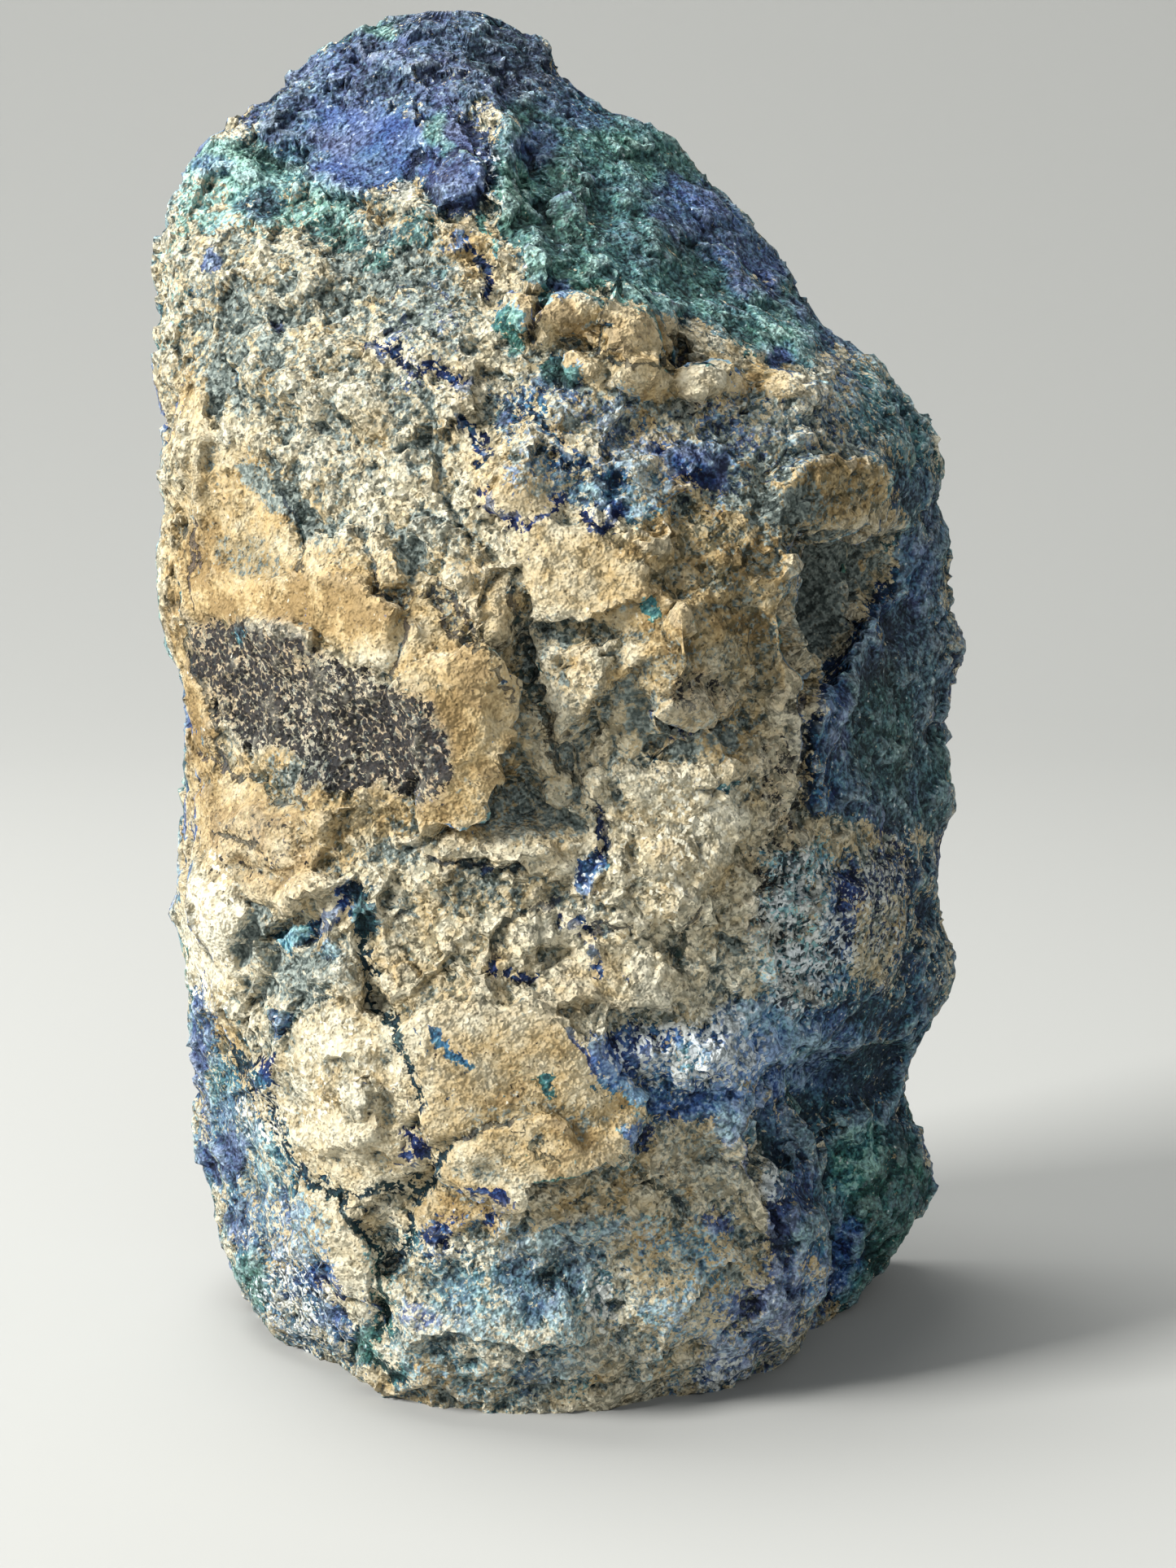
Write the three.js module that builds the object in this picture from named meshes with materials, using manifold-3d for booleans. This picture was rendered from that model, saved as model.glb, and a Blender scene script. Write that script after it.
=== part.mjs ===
// A free-standing azurite-malachite slab: one thick stone, sawn flat underneath so that it
// stands, and sawn and polished flat on its back. All the rest is natural: a domed front of
// ochre matrix, crusted with azurite and malachite over the top, the sides and the foot.
//
// Millimetres, +Z up. The front faces -Y and the polished face is the flat plane at +Y. The
// origin is at the bottom centre of the stone's bounding box.

import * as THREE from "three";
import { ImprovedNoise } from "three/addons/math/ImprovedNoise.js";
import { mergeVertices } from "three/addons/utils/BufferGeometryUtils.js";
import Module from "manifold-3d";

// ---- Driving dimensions ----

const HEIGHT = 185.5; // foot to peak
const POLISHED_Y = 30; // plane of the polished back, before the stone is centred on its box
const LEVELS = 72; // rings of vertices from under the foot to the peak
const CROWDING = 0.35; // how much closer together the rings are at the peak than at the foot
const SPAN_STEPS = [3, 5, 5, 6, 8, 7, 7, 6, 8, 4, 3]; // vertices between points of an outline

// ---- The boulder, before sawing ----
// Plan outlines at rising heights. Every outline has the same twelve [x, y] points, from the
// back on the left, round the front, to the back on the right: back, rear flank, widest point,
// front corner, left, middle and right of the front, front corner, hollow behind that corner,
// widest point, rear flank, back.

const OUTLINES = [
  { z: -8, at: [
    [-38, 42], [-41, 22], [-39, 4], [-34, -4], [-23, -17], [-6, -26],
    [12, -21], [28, -13], [33, -2], [38, 6], [41, 22], [40, 42]] },
  { z: 0, at: [
    [-41, 42], [-44, 22], [-42.7, 5], [-37, -4], [-24, -20.5], [-6, -28.5],
    [13, -23.5], [29.5, -13.5], [35, -1], [41, 7], [45, 22], [44, 42]] },
  { z: 7, at: [
    [-43, 42], [-48, 22], [-48.6, 7], [-41.5, -7], [-26, -22.5], [-6, -30.5],
    [14, -26.5], [33, -16], [37, 1], [49, 13], [50, 24], [46, 42]] },
  { z: 18, at: [
    [-45, 42], [-50, 24], [-50.2, 9], [-43.5, -8], [-29, -24], [-6, -31.5],
    [15, -28.5], [35, -18], [38, 1], [54.4, 15], [54, 26], [48, 42]] },
  { z: 30, at: [
    [-46, 42], [-51, 24], [-51.6, 9], [-45, -8], [-33, -23], [-7, -32],
    [16, -30], [32, -22], [37, -2], [51, 14], [53, 26], [48, 42]] },
  { z: 45, at: [
    [-46, 42], [-52.5, 22], [-53.6, 6], [-47.5, -9], [-36, -24], [-10, -34],
    [14, -31], [29, -25], [40, -9], [55.5, 15], [55, 26], [49, 42]] },
  { z: 60, at: [
    [-46, 42], [-52, 20], [-53, 2], [-48, -11], [-34, -25], [-9, -33],
    [14, -31], [30, -25], [44, -12], [54.6, 13], [55, 26], [49, 42]] },
  { z: 75, at: [
    [-45, 42], [-51, 18], [-51.2, -2], [-46.5, -12], [-31, -26], [-9, -32],
    [14, -31.5], [30, -26], [43, -12], [55, 12], [56, 26], [50, 42]] },
  { z: 86, at: [
    [-44, 42], [-50, 18], [-50.6, -4], [-45, -13], [-29, -27], [-9, -31.5],
    [12, -30], [30, -26.5], [39, -14], [56, 12], [55, 26], [50, 42]] },
  { z: 98, at: [
    [-45, 42], [-51, 18], [-52.4, -5], [-45.5, -14], [-28, -28], [-9, -31.5],
    [12, -31], [29.5, -27], [37, -13], [55.8, 13], [55.5, 26], [50, 42]] },
  { z: 109, at: [
    [-46, 42], [-52, 18], [-53.3, -5], [-46.5, -14], [-28, -27.5], [-5, -31],
    [13, -31.5], [29, -27], [37, -12], [54.8, 14], [54, 26], [49, 42]] },
  { z: 119, at: [
    [-46, 42], [-51.5, 18], [-52.4, -5], [-46.5, -13], [-28, -25.5], [-5, -30],
    [13, -29.5], [31, -24.5], [43, -13], [53.2, 14], [53, 26], [48, 42]] },
  { z: 128, at: [
    [-46, 42], [-51.5, 18], [-52.2, -5], [-46, -12], [-28, -23.5], [-5, -27.5],
    [13, -27], [31, -21.5], [43, -11], [50.2, 13], [51, 26], [46, 42]] },
  { z: 135, at: [
    [-46, 42], [-51.5, 18], [-52.5, -4], [-46, -11], [-29, -21.5], [-7, -25],
    [11, -24.5], [26, -19.5], [38, -9], [48, 10], [47, 26], [42, 42]] },
  { z: 142, at: [
    [-46, 42], [-51.5, 19], [-52.8, -3], [-46, -10], [-30, -18.5], [-10, -22],
    [6, -21], [18, -16], [29, -6], [38.5, 12], [38, 27], [34, 42]] },
  { z: 150, at: [
    [-45, 42], [-51, 20], [-52.7, -3], [-46, -8.5], [-31, -15], [-13, -18],
    [0, -16], [10, -10], [20, -1], [31.8, 13], [31, 27], [27, 42]] },
  { z: 158, at: [
    [-43, 42], [-48.5, 22], [-51, -2], [-45, -6], [-32, -10.5], [-16, -13],
    [-5, -11], [4, -6], [14, 2], [26.6, 14], [26, 27], [21, 42]] },
  { z: 165, at: [
    [-39, 41], [-44, 23], [-48, 3], [-42, -1], [-32, -5.5], [-19, -7.5],
    [-9, -6], [-1, -2], [8, 5], [19, 15], [18, 27], [13, 41]] },
  { z: 170, at: [
    [-34, 40], [-39.5, 24], [-43.5, 9], [-39, 4], [-31, 0], [-20, -2],
    [-12, -1], [-5, 3], [4, 8], [14.5, 16], [12, 26], [7, 40]] },
  { z: 175.5, at: [
    [-27, 37], [-34, 26], [-37.6, 13], [-34, 8], [-28, 4.5], [-20, 3],
    [-14, 4], [-9, 6], [-4, 10], [1.5, 17], [1, 26], [-4, 37]] },
  { z: 180.5, at: [
    [-22, 31], [-29, 24], [-33, 15], [-29.5, 10.5], [-24, 8], [-19, 7],
    [-14, 7.5], [-10, 9], [-6, 12], [-2, 18], [-3, 24], [-8, 31]] },
  { z: 184, at: [
    [-18, 26], [-23.5, 22], [-27, 17], [-24.5, 13.5], [-20.5, 12], [-17, 11.5],
    [-14, 12], [-11.5, 13], [-9, 15], [-6.5, 18.5], [-8, 22], [-12, 26]] },
  { z: HEIGHT, at: [
    [-16, 22], [-20, 20.5], [-22, 18], [-20.5, 16], [-17.5, 15], [-16, 15],
    [-14, 15], [-13, 15.5], [-11.5, 16.5], [-10.5, 18.5], [-11.5, 20.5], [-14, 22]] },
];

// ---- Facets: broad flat breaks that shave the boulder ----
// `normal` points out of the stone, `through` is a point on the break, and `soft` rounds the
// arris where it meets the rest.

const FACETS = [
  { name: "malachite roof", normal: [0.45, -0.57, 0.68], through: [12, 13, 172.5], soft: 2 },
  { name: "azurite window", normal: [-0.12, -0.8, 0.59], through: [-22, -4, 163], soft: 1.5 },
  { name: "left shoulder", normal: [-0.6, -0.3, 0.74], through: [-45, -2, 165.2], soft: 1.5 },
  { name: "left flat", normal: [-0.62, -0.78, 0.02], through: [-46, -13, 118], soft: 2 },
  { name: "right cheek", normal: [0.3, -0.95, 0.05], through: [24, -30, 104], soft: 2 },
  { name: "lower left flank", normal: [-0.82, -0.56, -0.1], through: [-46, -8, 35], soft: 2 },
  { name: "foot front", normal: [0.08, -0.97, -0.22], through: [0, -30.5, 14], soft: 2 },
];

// ---- Relief: lumps, hollows, ledges and gullies on the natural skin ----
// Each is placed on one side of the stone. `at` is [across, height], where across is x on the
// front and y on the left and right sides. `size` is the half width and half height of a lump
// or hollow, turned by `turn` degrees, and `rise` is how far it stands out, negative for a
// hollow. `edge` is the share of its radius over which it falls off: 1 is a dome and 0.3 is a
// flat-topped plate.

const RELIEF = [
  // Peak and roof
  { name: "peak brow", side: "front", at: [-20, 177], size: [12, 4], turn: 8, rise: 1.6, edge: 0.8 },
  { name: "azurite knobs", side: "front", at: [-12, 159], size: [4.6, 6], turn: 10, rise: 3, edge: 0.7 },
  { name: "window rim", side: "front", at: [-19, 153.5], size: [13, 3], turn: -14, rise: 1.8, edge: 0.8 },
  { name: "roof gully", side: "front", at: [-2, 160], size: [4.4, 12], turn: 8, rise: -4, edge: 1 },
  { name: "roof ridge", side: "front", at: [12, 152], size: [7, 8], turn: 30, rise: 1.6, edge: 1 },
  { name: "shoulder step", side: "front", at: [-36, 165.5], size: [7, 3], turn: 28, rise: -2.6, edge: 1 },
  // The beads under the roof
  { name: "big bead", side: "front", at: [9, 136], size: [5.4, 7.6], turn: 12, rise: 3.6, edge: 0.6 },
  { name: "top bead", side: "front", at: [2.6, 140.6], size: [4.4, 3], turn: 8, rise: 2.6, edge: 0.6 },
  { name: "left bead", side: "front", at: [-4.4, 141], size: [2.6, 3.4], turn: 30, rise: 2.2, edge: 0.7 },
  { name: "low bead", side: "front", at: [4.6, 134.8], size: [3.4, 2.8], turn: 0, rise: 2, edge: 0.7 },
  { name: "upper bead", side: "front", at: [-3.4, 147], size: [3, 4], turn: 0, rise: 1.8, edge: 0.7 },
  { name: "right bead", side: "front", at: [17.5, 132.5], size: [5, 3.4], turn: -10, rise: 2.2, edge: 0.7 },
  { name: "far bead", side: "front", at: [30, 131.5], size: [4.4, 3.2], turn: 20, rise: 1.8, edge: 0.7 },
  { name: "bead hole", side: "front", at: [15.2, 137.4], size: [3.2, 2.6], turn: -20, rise: -3.4, edge: 1 },
  // Cream band and left edge
  { name: "left notch", side: "front", at: [-35, 142.5], size: [3.6, 5], turn: -20, rise: -2.4, edge: 1 },
  { name: "right notch", side: "front", at: [-26, 142.5], size: [4, 4], turn: 0, rise: -2.2, edge: 1 },
  { name: "cream hummock", side: "front", at: [-30, 133], size: [9, 5], turn: 10, rise: 1.4, edge: 0.8 },
  { name: "left spine", side: "front", at: [-46, 124], size: [3, 14], turn: 2, rise: 2.2, edge: 0.7 },
  { name: "grey dip", side: "front", at: [-31, 116], size: [6, 5], turn: -35, rise: -2, edge: 1 },
  { name: "ringed nodule", side: "front", at: [-3.6, 122.6], size: [7, 6.4], turn: 0, rise: 1.8, edge: 0.5 },
  // Middle of the front
  { name: "brow", side: "front", at: [4, 112.5], size: [13, 6.5], turn: -4, rise: 1.8, edge: 0.5 },
  { name: "right brow", side: "front", at: [23, 109], size: [7, 11], turn: -12, rise: 2.2, edge: 0.5 },
  { name: "broad lobe", side: "front", at: [-27, 101], size: [20, 9.5], turn: -16, rise: 2.4, edge: 0.4 },
  { name: "ochre knob", side: "front", at: [-11.8, 91], size: [8.4, 10.5], turn: -16, rise: 5.4, edge: 0.4 },
  { name: "brown plate", side: "front", at: [-9, 105], size: [3.4, 6], turn: 28, rise: 1.8, edge: 0.4 },
  { name: "centre gully", side: "front", at: [0.8, 91], size: [3.8, 14], turn: 22, rise: -6.2, edge: 1 },
  { name: "gully floor", side: "front", at: [-3, 81.5], size: [11, 5], turn: -6, rise: -4.2, edge: 0.7 },
  { name: "gully ridge", side: "front", at: [9.5, 98], size: [3.6, 10], turn: -24, rise: 2, edge: 0.8 },
  { name: "upper gully", side: "front", at: [-5, 106.5], size: [2.6, 8], turn: 34, rise: -2.8, edge: 1 },
  { name: "lower gully", side: "front", at: [5.4, 75.5], size: [2.6, 9], turn: 8, rise: -3, edge: 1 },
  { name: "right socket", side: "front", at: [17.5, 90.5], size: [9, 4.4], turn: 16, rise: -4.2, edge: 0.9 },
  { name: "socket rim", side: "front", at: [17, 83.5], size: [12, 3.4], turn: -6, rise: 2, edge: 0.8 },
  { name: "socket break", side: "front", at: [16, 99], size: [7, 6.5], turn: 30, rise: 2, edge: 0.35 },
  { name: "right lip", side: "front", at: [27.5, 100], size: [2.6, 14], turn: -3, rise: 1.8, edge: 0.8 },
  { name: "ear hollow", side: "front", at: [35.5, 106], size: [5.8, 11], turn: 18, rise: -7, edge: 0.5 },
  { name: "crust ridge", side: "front", at: [38, 96], size: [2.6, 16], turn: -26, rise: 3, edge: 0.8 },
  { name: "shoulder boss", side: "front", at: [38, 121], size: [8, 5.5], turn: -14, rise: 2.2, edge: 0.6 },
  { name: "cream swell", side: "front", at: [13, 71], size: [12, 8], turn: 0, rise: 1.8, edge: 0.7 },
  { name: "speckled plate", side: "front", at: [30, 66], size: [9, 12], turn: 8, rise: 1.6, edge: 0.6 },
  // Lower left
  { name: "cream boss", side: "front", at: [-44, 66], size: [4.6, 10.5], turn: 4, rise: 3.4, edge: 0.6 },
  { name: "pitted bump", side: "front", at: [-38, 77], size: [8, 5], turn: -10, rise: 2, edge: 0.6 },
  { name: "boss dent", side: "front", at: [-37, 63.5], size: [3, 5.5], turn: -12, rise: -3.8, edge: 1 },
  { name: "blue vug", side: "front", at: [-31, 65], size: [4.6, 3.4], turn: 14, rise: -3, edge: 0.8 },
  { name: "vug lip", side: "front", at: [-29, 69.6], size: [6, 1.8], turn: 18, rise: 2, edge: 0.9 },
  { name: "belly groove", side: "front", at: [-22.5, 56], size: [2, 15], turn: 14, rise: -2.6, edge: 1 },
  { name: "belly knuckle", side: "front", at: [-27, 45], size: [8, 11], turn: -8, rise: 3, edge: 0.5 },
  { name: "ochre belly", side: "front", at: [-6, 48], size: [16, 13.5], turn: -8, rise: 3.4, edge: 0.45 },
  { name: "belly plate", side: "front", at: [-2, 37.5], size: [13, 5.6], turn: 8, rise: 2.4, edge: 0.25 },
  { name: "ledge shadow", side: "front", at: [-2, 28.6], size: [14, 2.6], turn: 6, rise: -1.8, edge: 1 },
  { name: "lower left pad", side: "front", at: [-28, 24], size: [5, 9], turn: -16, rise: 2.4, edge: 0.5 },
  { name: "foot gully", side: "front", at: [-22.5, 15], size: [2.2, 13], turn: 0, rise: -3.6, edge: 1 },
  { name: "foot pad", side: "front", at: [-3, 12], size: [15, 9], turn: 0, rise: 1.6, edge: 0.5 },
  // Lower right
  { name: "blue saddle", side: "front", at: [17, 49], size: [12, 5], turn: -6, rise: 2.4, edge: 0.7 },
  { name: "flank hollow", side: "front", at: [34, 39], size: [11, 9], turn: -30, rise: -7, edge: 0.7 },
  { name: "flank toe", side: "front", at: [31, 17], size: [5.6, 12], turn: -14, rise: 2.8, edge: 0.5 },
  { name: "foot dimple", side: "front", at: [19, 22], size: [7, 6], turn: 10, rise: -1.8, edge: 1 },
  // The crusted right side, from the top down
  { name: "right knuckle", side: "right", at: [10, 126], size: [12, 8], turn: 0, rise: 2, edge: 0.7 },
  { name: "right scoop", side: "right", at: [2, 106], size: [8, 11], turn: 12, rise: -2.6, edge: 1 },
  { name: "right rib", side: "right", at: [16, 97], size: [8, 6], turn: 0, rise: 1.8, edge: 0.7 },
  { name: "right cleft", side: "right", at: [10, 86], size: [14, 3], turn: 10, rise: -2.6, edge: 1 },
  { name: "right boss", side: "right", at: [10, 76], size: [9, 6], turn: 0, rise: 1.8, edge: 0.6 },
  { name: "right groove", side: "right", at: [6, 60], size: [12, 4], turn: -24, rise: -2.4, edge: 1 },
  { name: "rim knuckle", side: "right", at: [14, 50], size: [9, 5], turn: 0, rise: 2, edge: 0.7 },
  { name: "rim bite", side: "right", at: [14, 26], size: [10, 3.6], turn: 0, rise: -2.6, edge: 1 },
  { name: "rim toe", side: "right", at: [13, 16], size: [9, 6], turn: 0, rise: 2, edge: 0.6 },
  // The left side, from the top down
  { name: "left knuckle", side: "left", at: [6, 150], size: [10, 8], turn: 0, rise: 1.4, edge: 0.7 },
  { name: "left scoop", side: "left", at: [12, 128], size: [9, 12], turn: 20, rise: -2.4, edge: 1 },
  { name: "left cleft", side: "left", at: [6, 100], size: [12, 3], turn: -20, rise: -1.8, edge: 1 },
  { name: "left boss", side: "left", at: [14, 80], size: [9, 8], turn: 0, rise: 1.8, edge: 0.6 },
  { name: "left hollow", side: "left", at: [6, 50], size: [8, 9], turn: 10, rise: -2.2, edge: 1 },
  { name: "left toe", side: "left", at: [14, 24], size: [9, 9], turn: 0, rise: 1.4, edge: 0.6 },
];

// ---- Roughness of the natural skin: [wavelength, height] of each layer of noise ----

const ROUGHNESS = [
  [26, 1.2],
  [12, 1.2],
  [6.5, 0.9],
];

const SIDES = {
  front: { facing: new THREE.Vector3(0, -1, 0), across: (p) => p.x },
  right: { facing: new THREE.Vector3(1, 0, 0), across: (p) => p.y },
  left: { facing: new THREE.Vector3(-1, 0, 0), across: (p) => p.y },
};

const noise = new ImprovedNoise();

function smooth(t) {
  const s = THREE.MathUtils.clamp(t, 0, 1);
  return s * s * (3 - 2 * s);
}

// The outline's points at a height, each on a smooth curve up through the table.
function outlineAt(height) {
  const last = OUTLINES.length - 1;
  let i = 0;
  while (i < last - 1 && OUTLINES[i + 1].z < height) i++;
  const low = OUTLINES[i];
  const high = OUTLINES[i + 1];
  const below = OUTLINES[Math.max(0, i - 1)];
  const above = OUTLINES[Math.min(last, i + 2)];
  const span = high.z - low.z;
  const t = (height - low.z) / span;
  return low.at.map((from, k) => {
    const along = (axis) => {
      const rise = high.at[k][axis] - from[axis];
      const startSlope = (high.at[k][axis] - below.at[k][axis]) / (high.z - below.z);
      const endSlope = (above.at[k][axis] - from[axis]) / (above.z - low.z);
      const bend = (1 - t) * (startSlope * span - rise) + t * (rise - endSlope * span);
      return from[axis] + t * rise + t * (1 - t) * bend;
    };
    return new THREE.Vector3(along(0), along(1), height);
  });
}

// One ring of vertices: the outline at a height, rounded between its points.
function ring(height) {
  const curve = new THREE.CatmullRomCurve3(outlineAt(height), false, "centripetal");
  const spans = SPAN_STEPS.length;
  const points = [];
  SPAN_STEPS.forEach((steps, span) => {
    for (let k = 0; k < steps; k++) points.push(curve.getPoint((span + k / steps) / spans));
  });
  points.push(curve.getPoint(1));
  return points;
}

// Shaves a point back to each facet's plane.
function shave(p) {
  for (const { normal, through, soft } of FACETS) {
    const n = new THREE.Vector3(...normal).normalize();
    const out = n.dot(p) - n.dot(new THREE.Vector3(...through));
    if (out > -soft) p.addScaledVector(n, out > soft ? -out : -((out + soft) ** 2) / (4 * soft));
  }
}

// How far the lumps, hollows and noise push the skin out at a point.
function relief(p, normal) {
  const ragged = 0.16 * noise.noise(p.x / 5 + 31, p.y / 5, p.z / 5);
  let rise = 0;
  for (const { side, at, size, turn, rise: height, edge } of RELIEF) {
    const facing = smooth((normal.dot(SIDES[side].facing) - 0.1) / 0.4);
    const across = SIDES[side].across(p) - at[0];
    const up = p.z - at[1];
    const a = THREE.MathUtils.degToRad(turn);
    const u = (across * Math.cos(a) + up * Math.sin(a)) / size[0];
    const v = (up * Math.cos(a) - across * Math.sin(a)) / size[1];
    rise += height * facing * smooth((1 - Math.hypot(u, v) - ragged) / edge);
  }
  ROUGHNESS.forEach(([wavelength, height], layer) => {
    const q = p.clone().divideScalar(wavelength);
    rise += height * noise.noise(q.x + 7.3 * layer, q.y, q.z + 3.1 * layer);
  });
  return rise;
}

// The whole boulder before sawing, as one closed mesh of rings from under the foot to the peak.
function roughStone() {
  const lowest = OUTLINES[0].z;
  const rings = [];
  for (let level = 0; level <= LEVELS; level++) {
    const t = level / LEVELS;
    rings.push(ring(lowest + (HEIGHT - lowest) * (t + CROWDING * t * (1 - t))));
  }
  const points = rings.flat();
  const size = rings[0].length;
  const foot = points.push(new THREE.Vector3(0, 10, lowest)) - 1;
  const peak = points.push(new THREE.Vector3(-15, 18, HEIGHT + 0.5)) - 1;

  const index = [];
  for (let level = 0; level < LEVELS; level++) {
    for (let k = 0; k < size; k++) {
      const a = level * size + k;
      const b = level * size + ((k + 1) % size);
      if ((level + k) % 2) index.push(a, b, b + size, a, b + size, a + size);
      else index.push(a, b, a + size, b, b + size, a + size);
    }
  }
  for (let k = 0; k < size; k++) {
    const next = (k + 1) % size;
    index.push(foot, next, k);
    index.push(peak, LEVELS * size + k, LEVELS * size + next);
  }

  points.forEach(shave);
  const stone = new THREE.BufferGeometry().setFromPoints(points).setIndex(index);
  stone.computeVertexNormals();
  const normals = stone.getAttribute("normal");
  const position = stone.getAttribute("position");
  points.forEach((p, i) => {
    const normal = new THREE.Vector3().fromBufferAttribute(normals, i);
    const pushed = p.clone().addScaledVector(normal, relief(p, normal));
    position.setXYZ(i, pushed.x, pushed.y, pushed.z);
  });
  return stone;
}

// ---- Sawing: the boulder loses its underside and its back ----

const wasm = await Module();
wasm.setup();

function solidFrom(geometry) {
  const bare = new THREE.BufferGeometry();
  bare.setAttribute("position", geometry.getAttribute("position"));
  bare.setIndex(geometry.getIndex());
  const merged = mergeVertices(bare, 1e-4);
  return new wasm.Manifold(
    new wasm.Mesh({
      numProp: 3,
      vertProperties: new Float32Array(merged.getAttribute("position").array),
      triVerts: new Uint32Array(merged.getIndex().array),
    }),
  );
}

function geometryFrom(solid) {
  const { numProp, vertProperties, triVerts } = solid.getMesh();
  const positions = new Float32Array((vertProperties.length / numProp) * 3);
  for (let i = 0; i < positions.length / 3; i++) {
    positions.set(vertProperties.subarray(i * numProp, i * numProp + 3), i * 3);
  }
  const geometry = new THREE.BufferGeometry();
  geometry.setAttribute("position", new THREE.BufferAttribute(positions, 3));
  geometry.setIndex(new THREE.BufferAttribute(new Uint32Array(triVerts), 1));
  geometry.computeVertexNormals();
  return geometry;
}

const WASTE = 400; // a block larger than the stone each way
const block = new THREE.BoxGeometry(WASTE, WASTE, WASTE);
const underside = solidFrom(block.clone().translate(0, 0, -WASTE / 2));
const behind = solidFrom(block.clone().translate(0, POLISHED_Y + WASTE / 2, 0));
const sawn = geometryFrom(solidFrom(roughStone()).subtract(underside).subtract(behind));

// The origin goes to the bottom centre of the finished stone's box.
sawn.computeBoundingBox();
const centre = sawn.boundingBox.getCenter(new THREE.Vector3());
sawn.translate(-centre.x, -centre.y, 0);

const slab = new THREE.Mesh(
  sawn,
  new THREE.MeshStandardMaterial({ color: 0x8a8468, roughness: 0.85, metalness: 0 }),
);
slab.name = "azurite_malachite_slab";

const part = new THREE.Group();
part.add(slab);

export default part;
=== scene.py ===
"""Looks of the free-standing azurite-malachite slab.

The stone's own CAD solid gives its size, its masses and its two sawn planes. Here it is copied,
divided finely and carved: flat breaks, ledges, crumbs, ridges, cracks and pits, each placed by
where it is in the photograph, over chipped and granular noise. Painted fields (copper crust, its
hue, ochre, grey and so on) ride on its vertices, and the shader breaks them into grains, stains
and crystals.
"""

import math

import bmesh
import bpy
import numpy as np
from mathutils import Euler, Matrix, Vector


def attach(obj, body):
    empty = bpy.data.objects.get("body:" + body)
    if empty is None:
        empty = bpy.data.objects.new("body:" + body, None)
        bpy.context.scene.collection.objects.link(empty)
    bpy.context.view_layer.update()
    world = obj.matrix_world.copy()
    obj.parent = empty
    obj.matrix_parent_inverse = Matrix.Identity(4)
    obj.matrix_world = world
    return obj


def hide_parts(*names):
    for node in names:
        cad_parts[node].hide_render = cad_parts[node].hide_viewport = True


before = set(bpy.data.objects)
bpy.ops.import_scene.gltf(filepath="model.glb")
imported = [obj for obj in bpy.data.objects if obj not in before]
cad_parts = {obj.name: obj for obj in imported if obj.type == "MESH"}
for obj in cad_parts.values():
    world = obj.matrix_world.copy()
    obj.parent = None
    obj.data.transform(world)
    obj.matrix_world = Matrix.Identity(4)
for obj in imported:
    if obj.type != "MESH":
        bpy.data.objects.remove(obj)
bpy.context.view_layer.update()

NODE = "azurite_malachite_slab"

# ---- The photograph's camera, in metres and in pixels of its 1445 x 1927 frame ----

PHOTO_W, PHOTO_H = 1445, 1927
LENS_MM, SENSOR_MM = 50.0, 36.0
FOCAL_PX = LENS_MM / SENSOR_MM * PHOTO_H
CAMERA_AT = (0.0020, -0.2937, 0.1215)
PITCH = math.radians(8.0)

MM = 0.001

# ---- Noise on arrays of points ----

_rng = np.random.default_rng(11)
PERM = _rng.permutation(256)
GRADS = _rng.normal(size=(256, 3))
GRADS /= np.linalg.norm(GRADS, axis=1)[:, None]
JITTER = _rng.random((256, 3))
TILTS = _rng.normal(size=(256, 3))
TILTS /= np.linalg.norm(TILTS, axis=1)[:, None]
LATTICE_TURN = (0.62, 0.47, 0.35)
TURN = np.array(Euler(LATTICE_TURN).to_matrix())


def hashed(c):
    """A fixed random number from 0 to 255 for each cell of the lattice."""
    return PERM[(PERM[(PERM[c[:, 0] & 255] + c[:, 1]) & 255] + c[:, 2]) & 255]


def perlin(p):
    """Gradient noise, about -1 to 1."""
    c = np.floor(p).astype(np.int64)
    f = p - c
    w = f * f * f * (f * (f * 6 - 15) + 10)
    total = np.zeros(len(p))
    for corner in np.ndindex(2, 2, 2):
        k = np.array(corner)
        weight = np.prod(np.where(k, w, 1 - w), axis=1)
        total += weight * ((f - k) * GRADS[hashed(c + k)]).sum(axis=1)
    return total * 1.6


def fbm(p, size, octaves=3, gain=0.5, seed=0.0):
    """Layered noise on points in mm, with its broadest lumps `size` mm across."""
    total, amp, reach = np.zeros(len(p)), 1.0, 0.0
    q = p @ TURN / size
    for k in range(octaves):
        total += amp * perlin(q * 2**k + seed + 17.3 * k)
        reach += amp
        amp *= gain
    return total / reach


def drifts(p, size, *seeds):
    """Columns of layered noise, one for each seed, to push points about with."""
    return np.stack([fbm(p, size, 2, seed=k) for k in seeds], 1)


def cells(p, size, seed=0.0):
    """Worley cells: nearest and second distances (in cells), the cell's number, and the offset
    from the cell's own point."""
    q = p @ TURN / size + seed
    c = np.floor(q).astype(np.int64)
    near = np.full(len(p), 9.0)
    second = np.full(len(p), 9.0)
    number = np.zeros(len(p), dtype=np.int64)
    offset = np.zeros((len(p), 3))
    for corner in np.ndindex(3, 3, 3):
        at = c + np.array(corner) - 1
        h = hashed(at)
        d = q - (at + JITTER[h])
        r = np.sqrt((d * d).sum(axis=1))
        closer = r < near
        second = np.where(closer, near, np.minimum(second, r))
        near = np.where(closer, r, near)
        number = np.where(closer, h, number)
        offset[closer] = d[closer]
    return near, second, number, offset


def chips(p, size, seed=0.0):
    """Flat tilted chips, like a hammered break: about -0.5 to 0.5."""
    _, _, number, offset = cells(p, size, seed)
    return (offset * TILTS[number]).sum(axis=1)


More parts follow.
